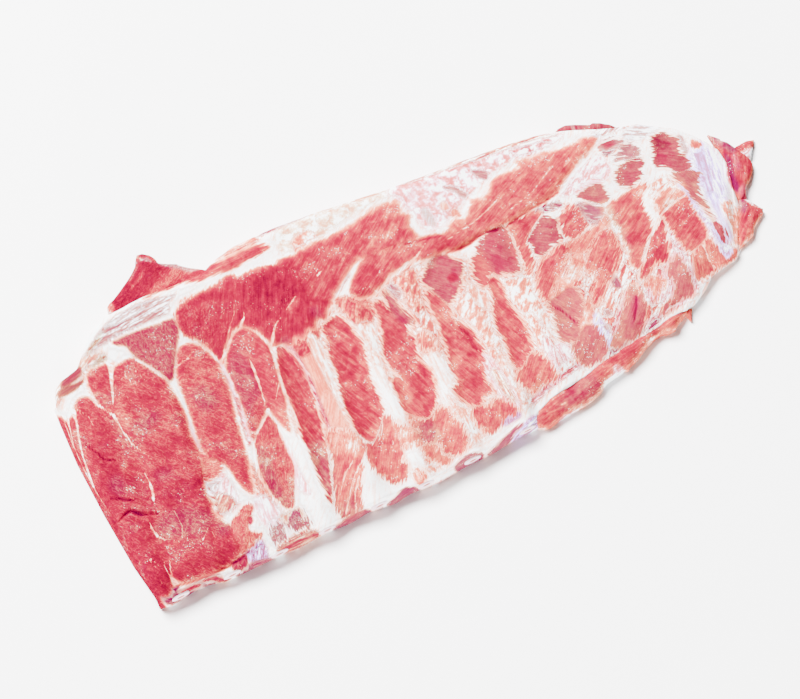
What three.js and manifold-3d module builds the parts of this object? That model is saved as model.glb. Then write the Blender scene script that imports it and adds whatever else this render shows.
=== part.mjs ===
// A raw rack of pork spare ribs lying bone side up.
//
// Millimetres, +Z up. X runs along the rack, Y across it: the sawn edge with the rib
// ends is at -Y, the thick fat edge at +Y, and the flat underside lies on z = 0.
// The meat is one solid. The sawn rib bones are nodes of their own that lie in it, each
// in a blind tunnel that opens at the sawn edge.

import * as THREE from 'three';
import { LoftGeometry } from 'three/addons/geometries/LoftGeometry.js';
import { mergeVertices } from 'three/addons/utils/BufferGeometryUtils.js';
import Module from 'manifold-3d';

const wasm = await Module();
wasm.setup();

// ---- driving dimensions ----------------------------------------------------------

const LEFT = -213;             // clean-cut left end
const RIGHT = 261;             // thin right end, before its flaps
const CUT_ROUND = 8;           // rounding where the top meets the left cut
const ROLL_RADIUS = 11;        // rolled fat edge along the far side
const FLOOR_INSET = 3;         // how far the underside draws in from the sawn edge
const CUT_DROP = 0.28;         // share of the height that the top loses at the left cut
const LOW_STRIP_MIN = 4;       // a strip wider than this shows as a ledge
const TOP_ROWS = 24;           // rows of points across the top
const FLOOR_ROWS = 4;          // rows across the underside
const LEFT_STEPS = [0, 0.35, 0.7];      // stations from the left cut to the first rib
const RIB_STEPS = [0, 0.2, 0.5, 0.8];   // stations from one rib to the next
const RIGHT_STEPS = [0, 0.28, 0.52, 0.72, 0.87, 1];   // from the last rib to the tip

// Rib lines from the sawn edge to under the skirt muscle: x at y = LOW_Y, 0 and TOP_Y, and
// how far the line stands over its surroundings (negative: a seam between thick muscles).
const LOW_Y = -84;
const TOP_Y = 50;
const RIBS = [
  { low: -199, mid: -186, top: -189, relief: -1.8 },
  { low: -164, mid: -144, top: -134, relief: -1.8 },
  { low: -131, mid: -112, top: -103, relief: 0.6 },
  { low: -97, mid: -82, top: -76, relief: 2.6 },
  { low: -60, mid: -54, top: -48, relief: 3 },
  { low: -27, mid: -20, top: -13, relief: 3 },
  { low: 7, mid: 19, top: 24, relief: 3 },
  { low: 48, mid: 55, top: 60, relief: 2.8 },
  { low: 84, mid: 88, top: 94, relief: 2.4 },
  { low: 117, mid: 124, top: 132, relief: 1.8 },
  { low: 152, mid: 160, top: 168, relief: 0.8 },
  { low: 190, mid: 198, top: 202, relief: 1.6 },
  { low: 222, mid: 226, top: 230, relief: 1.6 },
];
const RIB_HALF_WIDTH = 12;     // where a ridge has died away
const RIB_FADE = [34, 52];     // y where the ridges go under the skirt muscle
const SAWN_BONES = 8;          // ribs whose bone ends show at the sawn edge

// Bones: oval bars that lie just under the top of their ridge.
const BONE = { width: 12, height: 8, depth: 7.6, end: 40, taper: 3, proud: 0.8, sides: 12 };
const TUNNEL = { gap: 0.3, mouth: 4, cover: 8 };   // clearance, overrun at its mouth, covered from

// Outline and heights along the rack, each as [x, value] points joined by straight lines.
const SAWN_EDGE = [[-213, -73], [-196, -77], [-182, -75], [-164, -79], [-136, -82], [-96, -81.5],
  [-56, -82.5], [-16, -84.5], [14, -84.5], [44, -83.5], [64, -85], [83, -83.5], [102, -81.5],
  [112, -77], [126, -75], [146, -67], [165, -64], [185, -57.5], [195, -54], [214, -45.5],
  [234, -39], [246, -20], [253, -4], [258, 10], [261, 20]];
const FAT_EDGE = [[-213, 76], [-209, 85], [-203, 89], [-190, 92], [-182, 100], [-173, 109],
  [-159, 114], [-88, 114], [-62, 119], [-33, 118.5], [2, 114], [46, 107.5], [82, 103.5],
  [132, 99.5], [162, 93.5], [207, 78], [222, 73.5], [244, 60], [253, 50], [258, 42], [261, 34]];
const SAWN_HEIGHT = [[-213, 17], [-140, 16], [0, 15.5], [52, 15.5], [60, 10], [190, 10], [261, 6]];
const RIB_HEIGHT = [[-213, 21], [-150, 23], [-50, 21], [50, 20], [130, 18], [200, 15.5],
  [240, 13], [261, 9]];
const FAT_HEIGHT = [[-213, 18], [-175, 21], [-100, 22], [0, 24], [100, 23], [180, 19],
  [240, 13], [261, 9]];
const EDGE_RISE = 22;          // from the strip up to the height over the ribs
const FAT_SLOPE = [62, 30];    // how far from the fat edge its height begins and is reached
const RIM = { y: -68, spread: 7, height: 3, ends: [-150, -132] };   // rolled rim, left end

// A low strip of meat left along the sawn edge, right of the bones: its width.
const STRIP = [[-213, 3], [50, 3], [62, 9], [80, 14], [112, 13], [130, 11], [165, 5],
  [185, 3.5], [261, 3]];

// The skirt muscle, a thick band lying over the tops of the ribs.
const SKIRT_NEAR = [[-118, 75], [-100, 53], [-75, 42], [-40, 41], [-10, 45], [20, 46],
  [60, 46], [100, 45], [125, 46], [150, 54], [188, 69]];
const SKIRT_FAR = [[-118, 88], [-80, 97], [0, 93], [45, 90], [58, 68], [72, 64], [93, 71],
  [110, 77], [144, 80], [180, 77], [188, 73]];
const SKIRT_HEIGHT = 4.5;
const SKIRT_LEFT = [-124, -112];
const SKIRT_RIGHT = [178, 192];

// Loose flaps that lie against the slab: outlines round their edge, and their height.
const FLAPS = [
  { height: 8, outline: [[-153, 108], [-151, 120], [-141, 128], [-129, 135], [-122, 141],
    [-119, 145.5], [-114, 145.5], [-109, 138], [-97, 126], [-84, 117], [-84, 104], [-118, 98]] },
  { height: 13, outline: [[167, 86], [168, 96], [177, 97], [192, 89.5], [205, 81.5], [205, 74],
    [186, 80]] },
  { height: 8, outline: [[262, 36], [270, 27], [275, 17], [272, 9], [265, 0], [258, -9],
    [248, -4], [244, 16], [250, 32]] },
  { height: 7, outline: [[264, 28], [275, 30.5], [283, 29.5], [285, 27.5], [281, 23], [273, 14],
    [262, 14]] },
  { height: 8, outline: [[250, -6], [258, -12], [264, -18], [262, -23], [252, -28], [238, -38],
    [228, -36], [232, -20]] },
];
const FLAP_POINTS = 26;        // points round a flap's edge
const FLAP_RINGS = [           // rings from its foot to its top: share of its spread and height
  { scale: 0.93, up: 0 },
  { scale: 1, up: 0.3 },
  { scale: 0.95, up: 0.72 },
  { scale: 0.8, up: 0.94 },
  { scale: 0.5, up: 1 },
];

// ---- helpers ---------------------------------------------------------------------

const { clamp, lerp, smoothstep } = THREE.MathUtils;

/** Value at x on the straight lines that join [x, value] points. */
function along(points, x) {
  const last = points.length - 1;
  if (x <= points[0][0]) return points[0][1];
  if (x >= points[last][0]) return points[last][1];
  const i = points.findIndex((p) => p[0] > x) - 1;
  const [a, b] = [points[i], points[i + 1]];
  return lerp(a[1], b[1], (x - a[0]) / (b[0] - a[0]));
}

/** x of a rib line at y: straight lines from the sawn edge to the middle to the skirt. */
function ribX(rib, y) {
  if (y < 0) return lerp(rib.mid, rib.low, Math.min(1, y / LOW_Y));
  return lerp(rib.mid, rib.top, Math.min(1, y / TOP_Y));
}

/** Height of the ridges (and of the seams) that run along the rib lines. */
function ribRelief(x, y) {
  const fade = 1 - smoothstep(y, ...RIB_FADE);
  let relief = 0;
  for (const rib of RIBS) {
    const d = Math.abs(x - ribX(rib, y)) / RIB_HALF_WIDTH;
    if (d < 1) relief += rib.relief * 0.5 * (1 + Math.cos(Math.PI * d));
  }
  return relief * fade;
}

/** Height of the skirt muscle over what lies under it. */
function skirtRelief(x, y) {
  const ends = smoothstep(x, ...SKIRT_LEFT) * (1 - smoothstep(x, ...SKIRT_RIGHT));
  const near = smoothstep(y, along(SKIRT_NEAR, x) - 3, along(SKIRT_NEAR, x) + 4);
  const far = 1 - smoothstep(y, along(SKIRT_FAR, x) - 6, along(SKIRT_FAR, x) + 2);
  return SKIRT_HEIGHT * ends * near * far;
}

/** Height of the top away from its edges. */
function topHeight(x, y) {
  const sawn = along(SAWN_EDGE, x) + along(STRIP, x);
  const fat = along(FAT_EDGE, x);
  const [slopeStart, slopeEnd] = FAT_SLOPE;
  let z = lerp(along(SAWN_HEIGHT, x), along(RIB_HEIGHT, x), smoothstep(y, sawn, sawn + EDGE_RISE));
  z = lerp(z, along(FAT_HEIGHT, x), smoothstep(y, fat - slopeStart, fat - slopeEnd));
  const rim = RIM.height * Math.exp(-(((y - RIM.y) / RIM.spread) ** 2));
  return z + ribRelief(x, y) + skirtRelief(x, y) + rim * (1 - smoothstep(x, ...RIM.ends));
}

/** Rounds the top down to the left cut. */
function endRounding(x) {
  const t = clamp((x - LEFT) / CUT_ROUND, 0, 1);
  return 1 - CUT_DROP + CUT_DROP * Math.sqrt(1 - (1 - t) ** 2);
}

// ---- the slab --------------------------------------------------------------------

/** Closed section of the slab over a line { low, mid, top }, as a rib line is given. */
function slabSection(line) {
  const point = (y, z) => {
    const x = ribX(line, y);
    return new THREE.Vector3(x, y, z * (z > 0.5 ? endRounding(x) : 1));
  };
  const sawn = along(SAWN_EDGE, line.low);
  const fat = along(FAT_EDGE, line.top);
  const strip = along(STRIP, line.low);
  const width = fat - sawn;
  const roll = Math.min(ROLL_RADIUS, width * 0.35);
  const edgeHeight = along(SAWN_HEIGHT, line.low);
  const fatHeight = topHeight(line.top, fat - roll);
  const section = [];
  // underside, from the sawn edge to the fat edge
  for (let i = 0; i <= FLOOR_ROWS; i++) {
    section.push(point(lerp(sawn + FLOOR_INSET, fat - roll * 0.8, i / FLOOR_ROWS), 0));
  }
  // rolled fat edge
  for (const [out, up] of [[0.45, 0.12], [0.88, 0.34], [1, 0.56], [0.86, 0.8], [0.5, 0.95]]) {
    section.push(point(fat - roll + roll * out, fatHeight * up));
  }
  // top, back to the strip or sawn edge
  const from = sawn + strip + 1.5;
  for (let i = 0; i <= TOP_ROWS; i++) {
    const y = lerp(fat - roll, from, i / TOP_ROWS);
    section.push(point(y, topHeight(ribX(line, y), y)));
  }
  // low strip, then down the sawn face
  const ledge = strip > LOW_STRIP_MIN;
  const lip = edgeHeight - (ledge ? 0 : 0.6);
  section.push(point(sawn + strip * 0.9, lip - (ledge ? 2 : 0.2)));
  section.push(point(sawn + strip * 0.6, lip));
  section.push(point(sawn + strip * 0.25, lip - 0.8));
  section.push(point(sawn, edgeHeight * 0.72));
  section.push(point(sawn, edgeHeight * 0.38));
  section.push(point(sawn + FLOOR_INSET * 0.4, edgeHeight * 0.1));
  return section;
}

/** Lines the slab is lofted through: the two ends and stations over every rib. */
function slabLines() {
  const straight = (x) => ({ low: x, mid: x, top: x });
  const mix = (a, b, t) => ({
    low: lerp(a.low, b.low, t),
    mid: lerp(a.mid, b.mid, t),
    top: lerp(a.top, b.top, t),
  });
  const lines = [straight(LEFT), straight(LEFT + 1.6)];
  const edge = straight(LEFT + 5);
  for (const t of LEFT_STEPS) lines.push(mix(edge, RIBS[0], t));
  for (let i = 0; i + 1 < RIBS.length; i++) {
    for (const t of RIB_STEPS) lines.push(mix(RIBS[i], RIBS[i + 1], t));
  }
  const tip = straight(RIGHT - 1);
  for (const t of RIGHT_STEPS) lines.push(mix(RIBS.at(-1), tip, t));
  lines.push(straight(RIGHT));
  return lines;
}

// ---- flaps and bones -------------------------------------------------------------

/** A flap: rings that rise from its foot to a domed top. */
function flapGeometry({ outline, height }) {
  const corners = outline.map(([x, y]) => new THREE.Vector3(x, y, 0));
  const curve = new THREE.CatmullRomCurve3(corners, true, 'centripetal');
  const edge = curve.getSpacedPoints(FLAP_POINTS).slice(0, -1);
  const centre = edge.reduce((sum, p) => sum.add(p), new THREE.Vector3()).divideScalar(edge.length);
  const sections = FLAP_RINGS.map(({ scale, up }) => edge.map((p) => {
    const q = centre.clone().lerp(p, scale);
    return q.setZ(height * up);
  }));
  if (THREE.ShapeUtils.isClockWise(edge.map((p) => new THREE.Vector2(p.x, p.y)))) {
    sections.forEach((ring) => ring.reverse());
  }
  return new LoftGeometry(sections, { capStart: true, capEnd: true });
}

/** An oval bar under a rib line. A tunnel for it is wider all round, longer and open. */
function boneGeometry(rib, tunnel) {
  const face = along(SAWN_EDGE, rib.low);
  const grow = tunnel ? TUNNEL.gap : 0;
  const covered = face + TUNNEL.cover;
  const start = face - (tunnel ? TUNNEL.mouth : BONE.proud);
  const stations = [[start, tunnel ? 1 : 0.93], [face + 0.4, 1], [covered, 1]];
  for (const t of [0.33, 0.66]) stations.push([lerp(covered, BONE.end - BONE.taper, t), 1]);
  stations.push([BONE.end - BONE.taper, 1], [BONE.end + grow, 0.7]);
  const sections = stations.map(([y, scale]) => {
    const under = Math.max(y, covered);
    const x = ribX(rib, under);
    const crown = Math.min(topHeight(x, under), topHeight(x, under - TUNNEL.cover) + 2);
    const centre = new THREE.Vector3(ribX(rib, y), y, crown - BONE.depth);
    const ring = [];
    for (let k = 0; k < BONE.sides; k++) {
      const angle = -k / BONE.sides * Math.PI * 2;
      ring.push(new THREE.Vector3(Math.cos(angle) * (BONE.width / 2 * scale + grow), 0,
        Math.sin(angle) * (BONE.height / 2 * scale + grow)).add(centre));
    }
    return ring;
  });
  return new LoftGeometry(sections, { capStart: true, capEnd: true });
}

// ---- joining and cutting ---------------------------------------------------------

/** A geometry's closed surface as a solid. */
function toSolid(geometry) {
  const bare = new THREE.BufferGeometry().setIndex(geometry.index);
  bare.setAttribute('position', geometry.attributes.position);
  const merged = mergeVertices(bare, 1e-4);
  return new wasm.Manifold(new wasm.Mesh({
    numProp: 3,
    vertProperties: new Float32Array(merged.attributes.position.array),
    triVerts: new Uint32Array(merged.index.array),
  }));
}

/** A solid as a named mesh with a material of its own. */
function toMesh(solid, name, color, roughness) {
  const { vertProperties, triVerts } = solid.getMesh();
  const geometry = new THREE.BufferGeometry();
  geometry.setAttribute('position', new THREE.BufferAttribute(vertProperties, 3));
  geometry.setIndex(new THREE.BufferAttribute(triVerts, 1));
  geometry.computeVertexNormals();
  const material = new THREE.MeshStandardMaterial({ color, roughness, metalness: 0 });
  const mesh = new THREE.Mesh(geometry, material);
  mesh.name = name;
  return mesh;
}

let meat = toSolid(new LoftGeometry(slabLines().map(slabSection), { capStart: true, capEnd: true }));
for (const flap of FLAPS) meat = meat.add(toSolid(flapGeometry(flap)));

const rack = new THREE.Group();
RIBS.slice(0, SAWN_BONES).forEach((rib, i) => {
  meat = meat.subtract(toSolid(boneGeometry(rib, true)));
  rack.add(toMesh(toSolid(boneGeometry(rib, false)), `rib_bone_${i + 1}`, 0xeadfd2, 0.55));
});
rack.add(toMesh(meat, 'rib_meat', 0xc4474a, 0.4));

// Origin at the middle of the underside.
const box = new THREE.Box3().setFromObject(rack);
const middle = box.getCenter(new THREE.Vector3());
rack.children.forEach((mesh) => mesh.position.set(-middle.x, -middle.y, -box.min.z));

export default rack;
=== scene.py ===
"""Raw rack of pork ribs, lying bone side up: its looks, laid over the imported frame."""
import math
from collections import namedtuple

import bpy
import numpy as np
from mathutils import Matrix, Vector


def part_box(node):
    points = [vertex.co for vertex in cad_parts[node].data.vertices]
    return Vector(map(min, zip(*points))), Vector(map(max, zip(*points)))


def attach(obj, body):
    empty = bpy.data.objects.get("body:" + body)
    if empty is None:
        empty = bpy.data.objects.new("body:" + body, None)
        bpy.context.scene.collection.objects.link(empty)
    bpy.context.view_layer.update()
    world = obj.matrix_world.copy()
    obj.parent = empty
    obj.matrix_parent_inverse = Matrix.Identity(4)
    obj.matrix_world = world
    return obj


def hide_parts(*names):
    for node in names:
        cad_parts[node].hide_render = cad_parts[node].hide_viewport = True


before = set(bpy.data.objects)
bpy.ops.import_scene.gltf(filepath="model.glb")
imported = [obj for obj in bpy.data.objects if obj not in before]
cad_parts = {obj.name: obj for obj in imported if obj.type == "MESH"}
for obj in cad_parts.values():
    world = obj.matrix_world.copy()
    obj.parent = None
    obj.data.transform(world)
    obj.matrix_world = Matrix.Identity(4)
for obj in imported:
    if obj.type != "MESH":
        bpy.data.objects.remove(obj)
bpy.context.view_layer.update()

bl_info = {
    "name": "Raw rack of ribs",
    "version": (1, 0, 0),
    "blender": (4, 5, 0),
    "location": "View3D > Sidebar > Ribs",
    "description": "Builds a raw rack of pork ribs: meat sheet, flaps, sawn bones and stage",
    "category": "Add Mesh",
}

BODY = "root"
MM = 0.001

# ---- the rack's plan ----
# Plan coordinates are millimetres: x along the rack, y across it, the sawn edge at -y.
# The frame has the same plan moved to its own origin, which ORIGIN gives.

LEFT = -213.0  # clean-cut left end
RIGHT = 261.0  # thin right end, before its flaps
SAWN_REACH = -85.3  # y of the seventh bone's sawn end
ORIGIN = np.array([
    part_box("rib_meat")[0].x / MM - LEFT,
    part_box("rib_bone_7")[0].y / MM - SAWN_REACH,
    0.0,
])

RIB_LOW_Y, RIB_TOP_Y = -84, 50  # y of the outer two places where a rib line is given
RIBS = [  # x of each rib line at RIB_LOW_Y, 0 and RIB_TOP_Y
    (-199, -186, -189), (-164, -144, -134), (-131, -112, -103), (-97, -82, -76), (-60, -54, -48),
    (-27, -20, -13), (7, 19, 24), (48, 55, 60), (84, 88, 94), (117, 124, 132), (152, 160, 168),
    (190, 198, 202), (222, 226, 230),
]
# How far each stands out of the top, or sinks into it, in mm.
RIB_RELIEF = [-1.8, -1.8, 0.6, 2.6, 3, 3, 3, 2.8, 2.4, 1.8, 0.8, 1.6, 1.6]
RIB_HALF_WIDTH = 12.0
SAWN_BONES = 8  # the ribs whose ends are sawn through, from the left

# Borders of the sheet and of the skirt muscle as (x, y), and heights as (x, z).
FAT_EDGE = [
    (-213, 76), (-209, 85), (-203, 89), (-190, 92), (-182, 100), (-173, 109), (-159, 116), (-130, 117),
    (-108, 114.5), (-88, 113.5), (-78, 118), (-62, 121), (-33, 120.5), (2, 116.3), (46, 110), (82, 106),
    (132, 102), (162, 97), (173, 93.6), (188, 87.2), (207, 79.5), (222, 75), (244, 60.5), (253, 50),
    (258, 42), (261, 34),
]
SAWN_HEIGHT = [(-213, 17), (-140, 16), (0, 15.5), (52, 15.5), (60, 13), (150, 11), (190, 10), (261, 6)]
RIB_HEIGHT = [(-213, 21), (-150, 23), (-50, 21), (50, 20), (130, 18), (200, 15.5), (240, 13), (261, 9)]
FAT_HEIGHT = [(-213, 18), (-175, 21), (-100, 22), (0, 24), (100, 23), (180, 19), (240, 13), (261, 9)]
SKIRT_NEAR = [
    (-118, 75), (-100, 53), (-75, 42), (-40, 41), (-10, 45), (20, 46), (60, 46), (100, 45), (125, 46),
    (150, 54), (188, 69),
]
SKIRT_FAR = [
    (-118, 88), (-80, 97), (0, 93), (45, 90), (58, 68), (72, 64), (93, 71), (110, 77), (144, 80),
    (180, 77), (188, 73),
]
SKIRT_HEIGHT = [(-118, 0.8), (20, 1.0), (60, 2.2), (150, 2.2), (188, 1)]
SHEET_EDGE = [  # top of the sawn face
    (-217, -74), (-205, -76.5), (-196, -77.5), (-182, -76), (-164, -79.5), (-136, -82.5), (-112, -81.5),
    (-96, -82.5), (-80, -81.5), (-62, -83.5), (-50, -83), (-36, -84.5), (-16, -86), (0, -84.5),
    (20, -85.5), (38, -84.5), (52, -83), (60, -77.5), (70, -74), (82, -71.5), (98, -71), (112, -68),
    (130, -66.5), (142, -65.5), (152, -63.5), (165, -61.5), (182, -60), (190, -56), (203, -50),
    (214, -45), (234, -40), (246, -20), (253, -4), (258, 10), (261, 20),
]
SHEET_BASE = [  # and its foot
    (-217, -76), (-205, -79), (-190, -77), (-178, -78), (-168, -81), (-148, -81.5), (-130, -82),
    (-118, -83.5), (-98, -82.5), (-80, -84), (-68, -83), (-50, -86), (-38, -84.8), (-18, -87), (0, -85.6),
    (22, -86), (42, -84.5), (56, -85), (64, -79), (98, -72), (130, -68), (165, -63), (182, -61),
    (192, -57.5), (203, -52), (212, -45.5), (232, -43), (242, -36), (250, -28), (256, -6), (260, 10),
    (262, 20),
]
# How far the left cut's foot stands out, by y.
LEFT_FLARE = [(-80, -2), (-65, 0), (-45, 2.5), (-5, 4.3), (35, 4.7), (65, 2.7), (85, 1)]

# How the forms of the top run into each other: where each starts and ends.
SAWN_RISE = 18  # from the sawn edge up to the ribs
FAT_RISE = (-62, -30)  # up to the fat edge's height, from that edge
RIBS_FADE = (34, 50)  # y where the ribs sink under the skirt
SKIRT_START, SKIRT_END = (-124, -112), (178, 192)  # x
SKIRT_RISE, SKIRT_FALL = (-2, 5), (-6, 2)  # from its near and its far border
# A swelling along the sawn side of the left end.
SWELL_HEIGHT, SWELL_Y, SWELL_WIDTH, SWELL_FADE = 1.6, -68, 8, (-150, -132)

# Patch outlines are drawn on a level sheet DRAWN_AT mm up and carried down to the surface
# along one slanting line, so that they lie alike on the thick and the thin end.
DRAWN_AT = 24.0
SLANT = np.array([0.1915, 0.3557])

# ---- lean meat ----
# A patch of lean: how pale it is (0 to 1), the way its fibres run in degrees, how far its border
# is feathered (mm), how high it bulges (mm, negative where it sinks), its outline, its hue and the
# width of its paler rim (mm).
Patch = namedtuple("Patch", "pale fibre feather lift outline hue rim", defaults=("plain", 1.0))

PALENESS = [  # from dark lean to white fat: paleness, base colour in sRGB
    (0.00, (62, 0, 22)), (0.08, (78, 0, 25)), (0.17, (89, 0, 27)), (0.24, (98, 0, 29)),
    (0.31, (106, 0, 31)), (0.39, (115, 4, 33)), (0.45, (122, 12, 36)), (0.50, (131, 24, 40)),
    (0.57, (142, 38, 46)), (0.64, (157, 53, 50)), (0.71, (174, 71, 56)), (0.79, (194, 94, 70)),
    (0.87, (217, 126, 98)), (0.94, (240, 180, 158)), (1.00, (247, 249, 253)),
]
HUES = {  # what a spot's linear colour is multiplied by
    "plain": (1, 1, 1),
    "dusky": (0.84, 1.28, 1.3),
    "ashen": (0.78, 1.45, 1.3),
    "brown": (0.54, 1.15, 0.95),
    "mauve": (0.62, 1.15, 1.8),
    "plum": (0.56, 1.1, 1.8),
    "lilac": (0.56, 0.85, 3.2),
    "pink": (0.92, 0.9, 1.6),
}

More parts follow.
